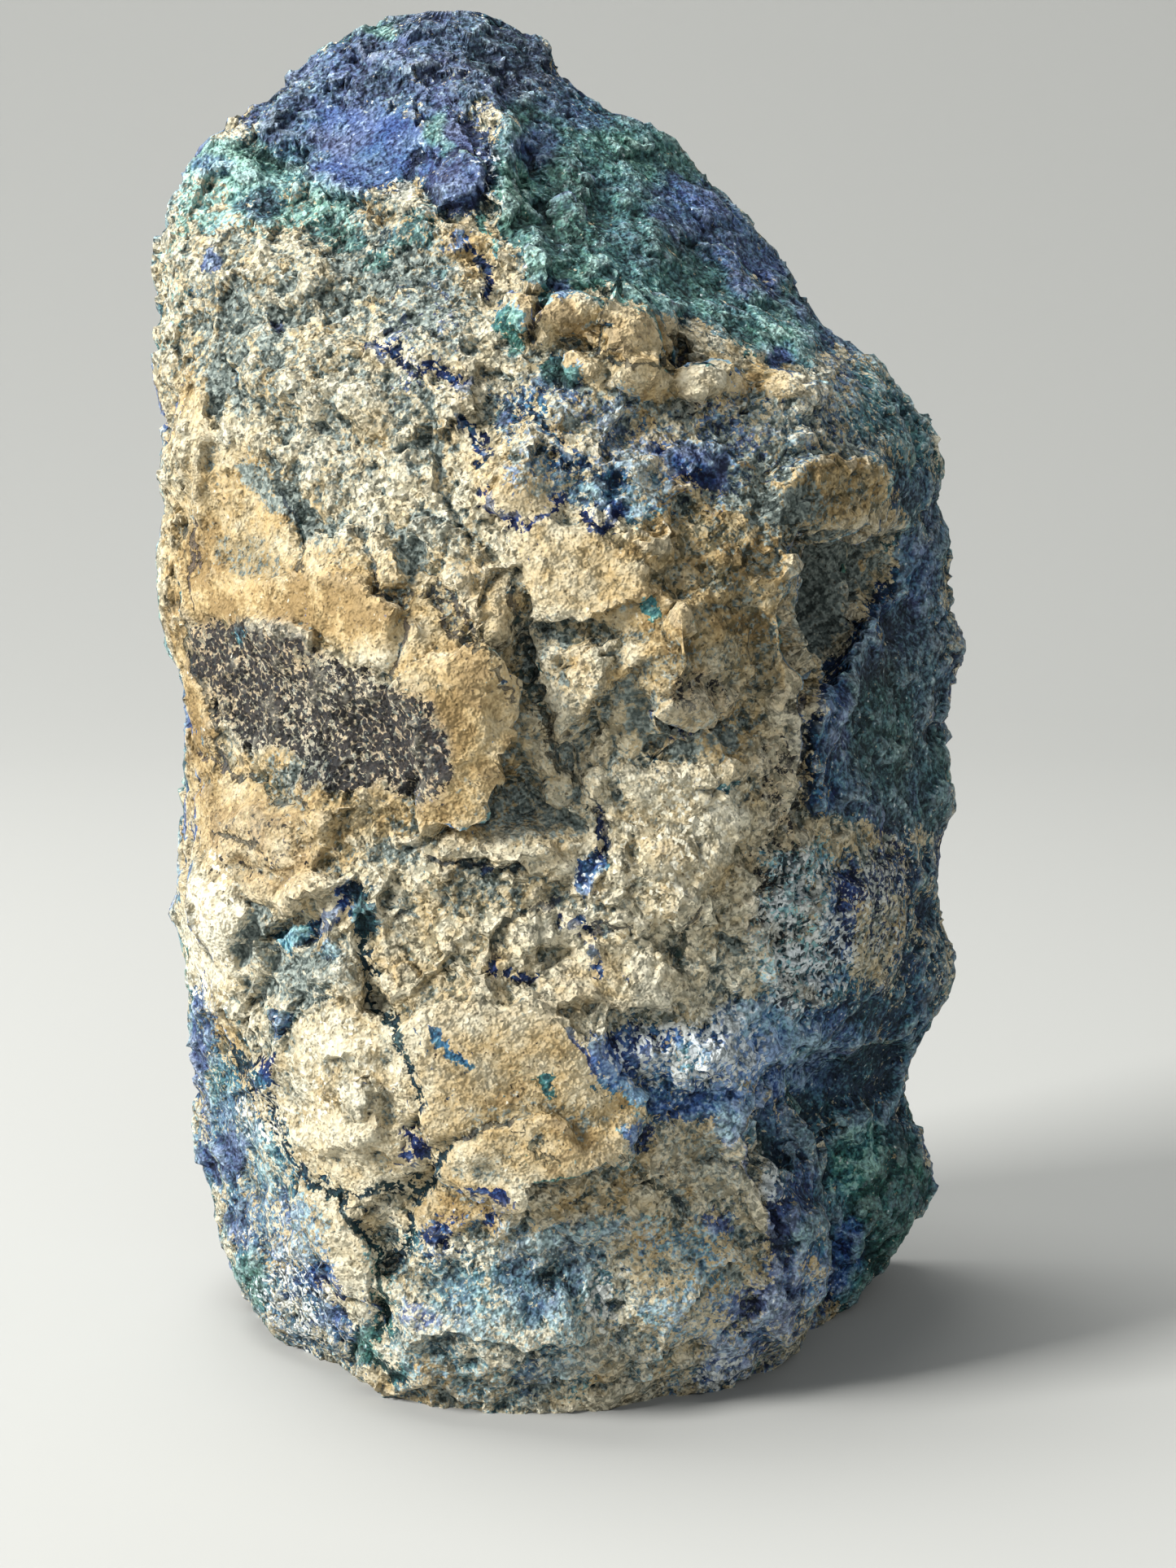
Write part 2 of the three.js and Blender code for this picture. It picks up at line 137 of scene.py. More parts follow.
def scars(p, size, seed=0.0):
    """Shallow scars that meet in sharp crests, about -0.5 to 0.5."""
    q = p @ TURN / size + seed
    c = np.floor(q).astype(np.int64)
    low = np.full(len(p), 9.0)
    for corner in np.ndindex(3, 3, 3):
        at = c + np.array(corner) - 1
        h = hashed(at)
        d = q - (at + JITTER[h])
        low = np.minimum(low, ((d + 0.45 * TILTS[h]) * d).sum(axis=1))
    return low - 0.1


def smooth(t):
    """Smooth step from 0 to 1."""
    t = np.clip(t, 0.0, 1.0)
    return t * t * (3 - 2 * t)


def taper(share, length, start):
    """1 along a line, easing over the last `length` of it at either end down to smooth(start)."""
    return smooth(share / length + start) * smooth((1 - share) / length + start)


def unit(vectors):
    """Vectors of length 1, one in each row."""
    return vectors / np.maximum(np.linalg.norm(vectors, axis=1), 1e-12)[:, None]


def read(items, name, width, kind=float):
    """One property of a mesh's vertices, edges or faces, as a row for each of them."""
    values = np.empty(len(items) * width, dtype=kind)
    items.foreach_get(name, values)
    return values.reshape(-1, width)


# ---- The finely divided copy of the CAD solid ----

# Points and edges shorter than these, in metres, are merged.
SAME_POINT, SLIVER = 1e-6, 2e-5
# A vertex this near a sawn plane is on it. The natural skin stays clear of both planes.
ON_PLANE_MM, CLEAR_OF_PLANES_MM = 0.02, 0.05
# Within this distance of its box, along x, y and z, the skin is eased back.
BOX_EASE_MM = (1.5, 4.0, 1.5)
# Fewest vertices that make a mean plane, and the largest gap to it that counts.
FEWEST_IN_PLANE, MOST_TO_PLANE_MM = 12, 4.0
# Cuts in each edge of the solid, on the side that faces the camera and elsewhere.
CUTS_SEEN, CUTS_UNSEEN = 4, 2
# Rounds of smoothing, each a pull towards the neighbours and a slightly larger push back.
RELAX_ROUNDS = 18
RELAX_SHARES = (0.5, -0.52)


class Stone:
    """The stone's mesh as arrays: points in mm, triangles, and which vertices lie on its two
    sawn planes."""

    def __init__(self, node):
        bm = bmesh.new()
        bm.from_mesh(node.data)
        bmesh.ops.remove_doubles(bm, verts=bm.verts, dist=SAME_POINT)
        bmesh.ops.triangulate(bm, faces=bm.faces)
        bm.normal_update()
        mark = bm.edges.layers.int.new("far")
        eye = Vector(CAMERA_AT)
        flats = {f for f in bm.faces if abs(f.normal.y) > 0.9999 or f.normal.z < -0.9999}
        seen = {f for f in bm.faces if f.normal.dot(eye - f.calc_center_median()) > 0.0} - flats
        near = {e for f in seen for e in f.edges}
        for e in {e for f in bm.faces if f not in flats for e in f.edges} - near:
            e[mark] = 1
        bmesh.ops.subdivide_edges(bm, edges=list(near), cuts=CUTS_SEEN, use_grid_fill=True)
        far = [e for e in bm.edges if e[mark] == 1]
        bmesh.ops.subdivide_edges(bm, edges=far, cuts=CUTS_UNSEEN, use_grid_fill=True)
        bmesh.ops.triangulate(bm, faces=bm.faces)
        bmesh.ops.dissolve_degenerate(bm, dist=SLIVER, edges=bm.edges)
        bmesh.ops.triangulate(bm, faces=bm.faces)
        self.mesh = bpy.data.meshes.new("slab")
        bm.to_mesh(self.mesh)
        bm.free()
        self.p = read(self.mesh.vertices, "co", 3) / MM
        self.tris = read(self.mesh.polygons, "vertices", 3, np.int64)
        self.edges = read(self.mesh.edges, "vertices", 2, np.int64)
        n = len(self.p)

        self.low, self.high = self.p.min(axis=0), self.p.max(axis=0)
        self.on_back = self.p[:, 1] > self.high[1] - ON_PLANE_MM
        self.on_foot = self.p[:, 2] < self.low[2] + ON_PLANE_MM
        self.back_faces = self.on_back[self.tris].all(axis=1)
        self.foot_faces = self.on_foot[self.tris].all(axis=1)
        self.plane_faces = self.back_faces | self.foot_faces
        natural = np.zeros(n, dtype=bool)
        natural[self.tris[~self.plane_faces]] = True
        self.inner = ~natural
        self.rim = natural & (self.on_back | self.on_foot)

        # Neighbours that a vertex is smoothed with: any for the natural skin, only other rim
        # vertices for the rim, none for the inside of a sawn plane.
        skin = self.tris[~self.plane_faces]
        sides = np.sort(np.stack([skin, np.roll(skin, -1, axis=1)], -1), -1)
        on_skin = np.unique((sides[..., 0] * n + sides[..., 1]).ravel())
        skin_edge = np.isin(self.edges.min(axis=1) * n + self.edges.max(axis=1), on_skin)
        a, b = self.edges[skin_edge].T
        free = ~self.rim & ~self.inner
        one_way = np.concatenate([np.stack([a, b], 1), np.stack([b, a], 1)])
        to, frm = one_way.T
        both_rim = self.rim[to] & self.rim[frm]
        keep = (free[to] & ~self.inner[frm]) | both_rim
        self.to, self.frm = to[keep], frm[keep]
        self.degree = np.maximum(np.bincount(self.to, minlength=n), 1)
        self.fixed = np.bincount(self.to, minlength=n) == 0

    def averaged(self, values):
        """Mean of each vertex's neighbours' values."""
        n = len(self.p)
        values = values if values.ndim == 2 else values[:, None]
        sums = [np.bincount(self.to, weights=v[self.frm], minlength=n) for v in values.T]
        out = np.stack(sums, 1) / self.degree[:, None]
        out[self.fixed] = values[self.fixed]
        return out

    def keep_planes(self, moved):
        """Moved points, put back on the sawn planes that they belong to."""
        moved[self.on_back, 1] = self.p[self.on_back, 1]
        moved[self.on_foot, 2] = self.p[self.on_foot, 2]
        moved[self.inner] = self.p[self.inner]
        return moved

    def relax(self, times):
        """Rounds the flat facets off without shrinking the masses."""
        for _ in range(times):
            for share in RELAX_SHARES:
                moved = self.p + share * (self.averaged(self.p) - self.p)
                self.p = self.keep_planes(moved)

    def normals(self):
        """Slightly smoothed normals of the natural skin."""
        t = self.p[self.tris[~self.plane_faces]]
        face = np.cross(t[:, 1] - t[:, 0], t[:, 2] - t[:, 0])
        out = np.zeros_like(self.p)
        for corner in range(3):
            at = self.tris[~self.plane_faces][:, corner]
            for axis in range(3):
                out[:, axis] += np.bincount(at, weights=face[:, axis], minlength=len(out))
        for _ in range(2):
            out = 0.5 * unit(out) + 0.5 * self.averaged(out)
        return unit(out)

    def creases(self, degrees):
        """Edges of the mesh where two triangles meet more sharply than this."""
        t = self.p[self.tris]
        face = unit(np.cross(t[:, 1] - t[:, 0], t[:, 2] - t[:, 0]))
        n = len(self.p)
        a = self.tris.ravel()
        b = np.roll(self.tris, -1, axis=1).ravel()
        owner = np.repeat(np.arange(len(self.tris)), 3)
        key = np.minimum(a, b) * n + np.maximum(a, b)
        order = np.argsort(key, kind="stable")
        key, owner = key[order], owner[order]
        pair = np.nonzero(key[:-1] == key[1:])[0]
        cosine = (face[owner[pair]] * face[owner[pair + 1]]).sum(axis=1)
        sharp = key[pair[cosine < math.cos(math.radians(degrees))]]
        edge_key = self.edges.min(axis=1) * n + self.edges.max(axis=1)
        return np.isin(edge_key, sharp)

    def push(self, normals, rise):
        """Moves the skin along its normals, by a height in mm for each vertex."""
        self.p = self.keep_planes(self.p + normals * rise[:, None])

    def gap_to_plane(self, chosen, normals):
        """How far each vertex must rise to lie on the mean plane of the chosen ones, in mm."""
        if chosen.sum() < FEWEST_IN_PLANE:
            return np.zeros(len(self.p))
        x, y, z = self.p[chosen].T
        across, up, level = np.linalg.lstsq(np.stack([x, z, np.ones(len(x))], 1), y, rcond=None)[0]
        facing = np.array([across, -1.0, up]) / math.sqrt(1 + across * across + up * up)
        behind = (self.p[:, 1] - across * self.p[:, 0] - up * self.p[:, 2] - level) * -facing[1]
        gap = behind / np.maximum(normals @ facing, 0.5)
        return np.clip(gap, -MOST_TO_PLANE_MM, MOST_TO_PLANE_MM)

    def fit(self):
        """Eases the skin back inside the solid's own box."""
        low, high = self.low, self.high
        for axis, margin in enumerate(BOX_EASE_MM):
            v = self.p[:, axis]
            if axis != 1:
                over = (v - high[axis] + margin) / margin
                v = np.where(over > 0, high[axis] - margin + margin * np.tanh(over), v)
            if axis != 2:
                under = (low[axis] + margin - v) / margin
                v = np.where(under > 0, low[axis] + margin - margin * np.tanh(under), v)
            self.p[:, axis] = v
        natural = ~self.on_back & ~self.on_foot
        self.p[natural, 2] = np.maximum(self.p[natural, 2], low[2] + CLEAR_OF_PLANES_MM)
        self.p[natural, 1] = np.minimum(self.p[natural, 1], high[1] - CLEAR_OF_PLANES_MM)

    def hollow(self, normals, times):
        """How far each vertex lies below the average of its surroundings, in mm."""
        avg = self.p
        for _ in range(times):
            avg = self.averaged(avg)
        return ((avg - self.p) * normals).sum(axis=1)


def to_photo(p):
    """Pixels of the photograph, and the direction in which the camera sees each point."""
    d = p * MM - np.array(CAMERA_AT)
    depth = d[:, 1] * math.cos(PITCH) - d[:, 2] * math.sin(PITCH)
    up = d[:, 1] * math.sin(PITCH) + d[:, 2] * math.cos(PITCH)
    u = PHOTO_W / 2 + FOCAL_PX * d[:, 0] / depth
    v = PHOTO_H / 2 - FOCAL_PX * up / depth
    return np.stack([u, v], 1), unit(d)


stone = Stone(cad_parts[NODE])
stone.relax(RELAX_ROUNDS)

# ---- Placing things by the photograph ----

# Drawn lines, in pixels: how far off vertices are looked for, where a line's width has faded to 0,
# over how far it fades, and the distance given to vertices that are near no line.
DRAWN_REACH_PX, DRAWN_END_PX, DRAWN_FADE_PX, FAR_OFF_PX = 24, 22, 6, 40.0
# Width of the slope at a ledge's edge, in pixels.
STEP_PX = 5.0
# Sides of a crumb's outline.
CRUMB_SIDES = 7


class Canvas:
    """The stone seen from the camera: where each vertex falls in the photograph's pixels, a
    little warped so that no edge runs true, and how squarely the skin there is seen."""

    def __init__(self, p, normals, wobble):
        uv, ray = to_photo(p)
        self.facing = smooth((-(normals * ray).sum(axis=1) - 0.02) / 0.3)
        self.uv = uv + wobble * (1.2 * drifts(p, 7.0, 3.0, 41.0) + drifts(p, 2.2, 5.0, 63.0))
        self.count = len(p)

    def near_box(self, low, high, reach):
        """Vertices on the seen side, within `reach` pixels of a box of pixels."""
        uv = self.uv
        inside = (uv > np.array(low) - reach).all(axis=1) & (uv < np.array(high) + reach).all(axis=1)
        return np.nonzero(inside & (self.facing > 0))[0]

    def only(self, at, values):
        """These values at some vertices, 0 at all others."""
        out = np.zeros(self.count)
        out[at] = values
        return out

    def ellipse(self, at, size, turn, reach):
        """Vertices near a turned ellipse of pixels, and where they lie in it, as shares of its
        half width and half height."""
        near = self.near_box(at, at, reach * max(size))
        rel = self.uv[near] - np.array(at)
        a = math.radians(turn)
        x = (rel[:, 0] * math.cos(a) - rel[:, 1] * math.sin(a)) / size[0]
        y = (rel[:, 0] * math.sin(a) + rel[:, 1] * math.cos(a)) / size[1]
        return near, x, y

    def along(self, points, reach):
        """Vertices near a line of pixels: their numbers, signed distance (positive on the
        left as the line is drawn) and share of the way along."""
        pts = np.array(points, dtype=float)
        at = self.near_box(pts.min(axis=0), pts.max(axis=0), reach)
        uv = self.uv[at]
        best = np.full(len(at), 1e9)
        side = np.ones(len(at))
        share = np.zeros(len(at))
        lengths = np.linalg.norm(np.diff(pts, axis=0), axis=1)
        run = 0.0
        for a, b, length in zip(pts[:-1], pts[1:], lengths):
            d = (b - a) / length
            rel = uv - a
            t = np.clip(rel @ d, 0, length)
            off = rel - t[:, None] * d
            r = np.hypot(off[:, 0], off[:, 1])
            closer = r < best
            best = np.where(closer, r, best)
            side = np.where(closer, np.sign(rel[:, 0] * d[1] - rel[:, 1] * d[0]), side)
            share = np.where(closer, (run + t) / lengths.sum(), share)
            run += length
        return at, best * side, share

    def line(self, points, width):
        """Soft line of pixels, 1 along its middle, thinning to its ends."""
        at, d, share = self.along(points, 3 * width)
        return self.only(at, np.exp(-((d / width) ** 2)) * taper(share, 0.08, 0.3))

    def drawn(self, lines):
        """Thin lines, finer than the mesh: the signed distance in pixels from the nearest one, and
        its half width in pixels, which fades to 0 away from it and towards its ends."""
        d = np.full(self.count, FAR_OFF_PX)
        width = np.zeros(self.count)
        for half, line in lines:
            at, off, share = self.along(line, DRAWN_REACH_PX)
            near = smooth((DRAWN_END_PX - np.abs(off)) / DRAWN_FADE_PX)
            thick = half * taper(share, 0.06, 0.2) * near
            closer = np.abs(off) < np.abs(d[at])
            d[at[closer]] = off[closer]
            width[at[closer]] = thick[closer]
        return d, width * self.facing

    def spot(self, at, size, turn, edge):
        """Soft ellipse of pixels: 1 inside, falling off over `edge` of its radius."""
        near, x, y = self.ellipse(at, size, turn, 1.6)
        return self.only(near, smooth((1 - np.hypot(x, y)) / edge + 0.5))

    def area(self, points, soft):
        """Soft-edged polygon of pixels."""
        pts = np.array(points, dtype=float)
        at = self.near_box(pts.min(axis=0), pts.max(axis=0), soft)
        uv = self.uv[at]
        inside = np.zeros(len(at), dtype=bool)
        best = np.full(len(at), 1e9)
        for a, b in zip(pts, np.roll(pts, -1, axis=0)):
            d = b - a
            t = np.clip(((uv - a) @ d) / (d @ d), 0, 1)
            best = np.minimum(best, np.linalg.norm(uv - a - t[:, None] * d, axis=1))
            crosses = (a[1] > uv[:, 1]) != (b[1] > uv[:, 1])
            with np.errstate(divide="ignore", invalid="ignore"):
                x = a[0] + (uv[:, 1] - a[1]) / (b[1] - a[1]) * (b[0] - a[0])
            inside ^= crosses & (uv[:, 0] < x)
        return self.only(at, smooth(np.where(inside, best, -best) / (2 * soft) + 0.5))

    def nugget(self, at, size, turn):
        """An angular crumb: many-sided outline, crisp edge, its top leaning."""
        near, x, y = self.ellipse(at, size, turn, 1.5)
        radius = np.zeros(len(near))
        for k in range(CRUMB_SIDES):
            t = 0.9 * k + 0.5 * math.sin(at[0] + 12.9 * k)
            side = (x * math.cos(t) + y * math.sin(t)) * (1 + 0.16 * math.sin(at[1] + 7.7 * k))
            radius = np.maximum(radius, side)
        lean = 1 + 0.3 * (x * math.cos(at[1]) + y * math.sin(at[1]))
        return self.only(near, smooth((1 - radius) / 0.3 + 0.5) * lean * (1.1 - 0.3 * radius))

    def ledge(self, points, reach):
        """A step: 1 along the left of the line, running back to 0 over `reach` pixels, and
        slightly below 0 at the foot of the step on its right."""
        at, d, share = self.along(points, reach)
        high = smooth(d / STEP_PX + 0.5) * smooth(1 - d / reach)
        low = -0.3 * np.exp(-np.abs(d) / (0.25 * reach)) * (d < 0) * smooth(1 + d / reach)
        return self.only(at, (high + low) * taper(share, 0.12, 0.1))


# How far features are pushed off true, and how soft the edges of areas are, in pixels.
CARVE_WOBBLE, PAINT_WOBBLE = 7.0, 13.0
BREAK_EDGE, WORN_EDGE, GRAINY_EDGE, ZONE_EDGE, PATCH_EDGE = 10.0, 8.0, 16.0, 18.0, 12.0

# ---- Carved features, by pixel of the photograph ----

# Flat breaks, each a polygon shaved towards its own mean plane and then moved: (lift in mm, lean
# in mm per 100 px to the right, and downward, how flat, how rough its face is, polygon).
BREAKS = [
    (0.0, 0.5, 0.0, 0.6, 0.3, [(240, 545), (290, 545), (315, 565), (340, 595), (350, 660), (363, 702),
     (305, 708), (243, 703)]),
    (0.3, 0.15, -0.1, 0.7, 0.08, [(218, 700), (245, 706), (365, 707), (415, 700), (460, 725), (490, 750),
     (477, 800), (474, 832), (440, 818), (410, 790), (375, 768), (220, 752)]),
    (0.0, 0.0, 0.0, 0.3, 0.45, [(240, 770), (352, 785), (449, 832), (500, 885), (520, 950), (490, 985),
     (420, 965), (330, 930), (262, 880), (235, 820)]),
    (0.7, 0.2, 0.0, 0.5, 0.3, [(372, 655), (435, 660), (452, 690), (460, 725), (415, 715), (375, 707)]),
    (1.2, 0.6, 0.3, 0.5, 0.35, [(440, 655), (470, 655), (488, 680), (508, 708), (470, 726), (455, 705)]),
    (-1.6, 0.0, 0.0, 0.3, 0.6, [(472, 636), (510, 655), (524, 700), (510, 712), (492, 690)]),
    (0.8, 1.2, 0.0, 0.7, 0.1, [(478, 850), (500, 822), (545, 812), (585, 808), (628, 850), (634, 900),
     (612, 945), (585, 978), (545, 1012), (520, 1030), (515, 1000), (520, 940), (505, 880)]),
    (-0.6, -3.0, 0.0, 0.2, 0.15, [(600, 830), (645, 855), (650, 905), (622, 950), (590, 985), (560, 1005),
     (585, 950), (603, 900)]),
    (1.2, 1.2, 0.8, 0.6, 0.2, [(495, 757), (512, 762), (528, 795), (541, 814), (500, 820), (478, 842),
     (472, 812), (482, 778)]),
    (0.7, 1.0, 0.5, 0.6, 0.3, [(527, 730), (548, 748), (582, 800), (574, 812), (541, 814), (520, 782),
     (503, 752)]),
    (1.0, 0.3, 0.2, 0.6, 0.4, [(540, 705), (560, 685), (582, 700), (572, 722), (548, 722)]),
    (2.0, 1.2, 0.0, 0.6, 0.35, [(622, 700), (640, 735), (638, 755), (612, 782), (590, 798), (583, 775),
     (600, 742), (612, 712)]),
    (0.4, 1.5, 0.0, 0.5, 0.3, [(230, 455), (243, 455), (252, 500), (246, 545), (241, 605), (241, 700),
     (226, 700), (222, 600)]),
    (1.0, 0.2, 0.2, 0.3, 0.35, [(232, 975), (290, 957), (350, 968), (378, 960), (405, 1000), (410, 1030),
     (392, 1065), (398, 1095), (300, 1108), (235, 1108)]),
    (0.8, 0.2, 0.5, 0.4, 0.6, [(542, 1028), (582, 990), (640, 970), (700, 985), (745, 998), (742, 1042),
     (722, 1066), (690, 1072), (640, 1062), (595, 1056), (560, 1050)]),
    (0.6, 0.1, 0.1, 0.6, 0.2, [(628, 662), (675, 642), (740, 650), (768, 690), (822, 730), (822, 762),
     (790, 796), (735, 762), (668, 752), (640, 712)]),
    (0.3, -3.0, -0.6, 0.4, 0.7, [(838, 745), (905, 712), (950, 690), (965, 720), (963, 772), (978, 812),
     (950, 842), (905, 862), (842, 872), (812, 862), (822, 812)]),
    (1.4, 1.8, 0.0, 0.5, 0.4, [(765, 802), (812, 786), (830, 760), (838, 800), (812, 850), (797, 895),
     (787, 925), (770, 920), (752, 880), (747, 838)]),
    (0.6, -0.6, -0.4, 0.3, 0.8, [(985, 570), (1028, 560), (1072, 575), (1100, 602), (1100, 640),
     (1072, 668), (1030, 660), (1000, 645), (955, 640), (945, 610)]),
    (2.0, 0.0, 0.0, 0.3, 0.7, [(800, 845), (900, 850), (905, 905), (850, 915), (790, 895)]),
    (2.6, 0.0, 0.4, 0.3, 0.8, [(640, 760), (690, 790), (760, 790), (745, 850), (720, 900), (690, 860),
     (655, 840)]),
    (2.6, 0.0, 0.6, 0.3, 0.6, [(650, 850), (700, 840), (748, 950), (752, 1010), (700, 1005), (655, 965)]),
    (3.2, -0.4, 0.4, 0.6, 0.5, [(790, 872), (842, 890), (882, 896), (897, 925), (900, 945), (850, 934),
     (802, 925)]),
    (0.8, 0.0, -0.3, 0.4, 0.6, [(765, 948), (840, 942), (902, 962), (922, 992), (905, 1040), (880, 1080),
     (830, 1100), (790, 1060)]),
    (-4.2, 0.0, 0.0, 0.3, 0.7, [(980, 690), (1002, 668), (1035, 655), (1065, 668), (1105, 662),
     (1092, 710), (1068, 750), (1042, 795), (1020, 835), (1000, 862), (984, 845), (972, 800),
     (966, 750)]),
    (0.8, 0.6, 0.0, 0.3, 0.2, [(225, 1075), (265, 1115), (315, 1115), (345, 1125), (325, 1185),
     (285, 1220), (250, 1240), (230, 1190)]),
    (1.4, 0.3, 0.0, 0.3, 0.8, [(345, 1115), (410, 1085), (450, 1090), (460, 1120), (445, 1150),
     (450, 1180), (435, 1200), (375, 1220), (325, 1200), (330, 1165)]),
    (0.5, 0.0, 0.3, 0.45, 0.4, [(450, 1240), (480, 1250), (500, 1295), (520, 1330), (520, 1365),
     (500, 1380), (530, 1420), (520, 1440), (480, 1465), (420, 1470), (400, 1465), (370, 1430),
     (345, 1380), (300, 1325), (330, 1300), (365, 1260), (410, 1245)]),
    (0.8, 0.8, 0.3, 0.2, 0.7, [(385, 1318), (425, 1305), (458, 1330), (452, 1380), (415, 1372),
     (388, 1350)]),
    (0.3, 0.3, 0.1, 0.6, 0.2, [(480, 1265), (520, 1240), (580, 1235), (650, 1245), (700, 1270),
     (745, 1300), (790, 1340), (785, 1370), (750, 1420), (730, 1425), (680, 1370), (640, 1375),
     (560, 1400), (530, 1400), (520, 1365), (520, 1330)]),
    (0.7, 0.3, 0.6, 0.6, 0.2, [(545, 1415), (630, 1375), (680, 1370), (730, 1425), (675, 1445),
     (650, 1460), (640, 1470), (595, 1460), (560, 1455), (540, 1435)]),
    (0.4, 0.2, 0.4, 0.6, 0.35, [(530, 1440), (560, 1455), (600, 1465), (615, 1475), (600, 1500),
     (580, 1510), (560, 1525), (520, 1540), (500, 1540), (505, 1490)]),
    (1.0, 0.4, 0.2, 0.5, 0.5, [(370, 1445), (410, 1475), (435, 1510), (470, 1545), (465, 1600),
     (420, 1585), (380, 1545), (365, 1490)]),
    (1.6, 0.0, 0.0, 0.4, 0.6, [(440, 1590), (475, 1560), (520, 1600), (530, 1700), (480, 1715),
     (440, 1690)]),
    (-0.8, 0.0, 0.0, 0.3, 0.6, [(290, 1300), (340, 1380), (370, 1435), (360, 1500), (320, 1550),
     (280, 1500), (265, 1440), (240, 1320)]),
    (0.3, -0.5, 0.0, 0.3, 0.8, [(1050, 1050), (1115, 1060), (1115, 1150), (1080, 1190), (1055, 1200),
     (1045, 1125)]),
    (-2.2, 0.0, 0.0, 0.2, 0.6, [(940, 1350), (1020, 1320), (1075, 1280), (1120, 1300), (1110, 1350),
     (1050, 1360), (1020, 1380), (960, 1425), (920, 1410)]),
    (1.4, 0.0, 0.0, 0.2, 0.9, [(1050, 1360), (1120, 1380), (1140, 1440), (1110, 1510), (1050, 1600),
     (1010, 1620), (1040, 1550), (1020, 1505), (990, 1490), (1020, 1420)]),
    (0.8, 0.0, 0.0, 0.4, 0.8, [(940, 1435), (960, 1440), (966, 1470), (950, 1482)]),
    (0.0, 0.0, 0.0, 0.9, 0.12, [(390, 131), (440, 125), (490, 131), (515, 156), (503, 212), (490, 231),
     (452, 225), (390, 206)]),
    (1.1, 0.4, 0.2, 0.4, 0.6, [(521, 162), (540, 137), (565, 144), (596, 206), (590, 237), (565, 250),
     (527, 237), (502, 206)]),
    (-1.2, 0.0, 0.0, 0.2, 0.7, [(577, 50), (615, 62), (627, 100), (596, 100)]),
    (0.7, 0.3, 0.4, 0.5, 0.6, [(500, 1590), (600, 1560), (690, 1590), (720, 1640), (640, 1660),
     (510, 1650)]),
    (0.7, 0.4, 0.3, 0.4, 0.6, [(780, 1530), (880, 1500), (930, 1560), (900, 1630), (820, 1660),
     (770, 1610)]),
    (0.7, 0.3, 0.2, 0.4, 0.7, [(690, 1180), (760, 1150), (840, 1180), (850, 1230), (760, 1250),
     (690, 1230)]),
    (0.6, 0.3, 0.2, 0.4, 0.8, [(300, 300), (360, 290), (400, 330), (370, 370), (310, 360)]),
    (0.6, 0.3, 0.2, 0.4, 0.8, [(430, 480), (500, 470), (530, 510), (490, 550), (430, 530)]),
    (0.6, 0.3, 0.2, 0.4, 0.8, [(480, 380), (540, 370), (580, 410), (550, 440), (490, 430)]),
]

# Steps in the rock: (height in mm, reach in px, line). The left of the line stands out.
LEDGES = [
    (1.4, 26, [(470, 1046), (538, 1026), (579, 981), (610, 940), (634, 894)]),
    (1.4, 50, [(540, 1040), (580, 1067), (607, 1073), (647, 1053), (690, 1060)]),
    (1.0, 50, [(712, 915), (718, 880), (747, 850), (775, 822), (800, 800)]),
    (1.3, 60, [(800, 960), (850, 968), (905, 960), (950, 945)]),
    (2.4, 50, [(1000, 1000), (985, 930), (980, 870), (972, 812), (966, 745), (975, 690), (990, 662)]),
    (1.6, 40, [(985, 662), (1010, 645), (1050, 650), (1085, 655)]),
    (2.2, 50, [(560, 1462), (600, 1468), (640, 1472), (655, 1448), (740, 1426), (790, 1418)]),
    (2.2, 50, [(960, 1530), (936, 1484), (919, 1443), (912, 1405), (908, 1372), (960, 1343)]),
    (1.2, 40, [(390, 231), (430, 240), (471, 252), (512, 262), (552, 275)]),
    (1.2, 40, [(588, 795), (590, 740), (606, 700), (640, 690)]),
    (1.2, 50, [(640, 760), (700, 765), (760, 740), (812, 730)]),
    (0.5, 60, [(320, 1400), (345, 1320), (352, 1260), (400, 1225), (440, 1215)]),
    (1.1, 40, [(385, 1305), (430, 1300), (462, 1335), (455, 1385), (420, 1400)]),
    (0.9, 40, [(345, 1400), (390, 1420), (450, 1405), (500, 1420)]),
    (1.4, 45, [(236, 1250), (300, 1245), (330, 1200), (345, 1150)]),
    (1.2, 40, [(330, 1190), (350, 1120), (385, 1100), (440, 1088)]),
    (1.2, 60, [(660, 1240), (720, 1230), (780, 1245), (840, 1240)]),
    (1.2, 70, [(500, 1650), (560, 1640), (640, 1655), (720, 1640)]),
    (1.2, 70, [(780, 1700), (830, 1620), (880, 1560), (940, 1530)]),
    (1.2, 40, [(600, 690), (560, 650), (520, 640), (488, 652)]),
]

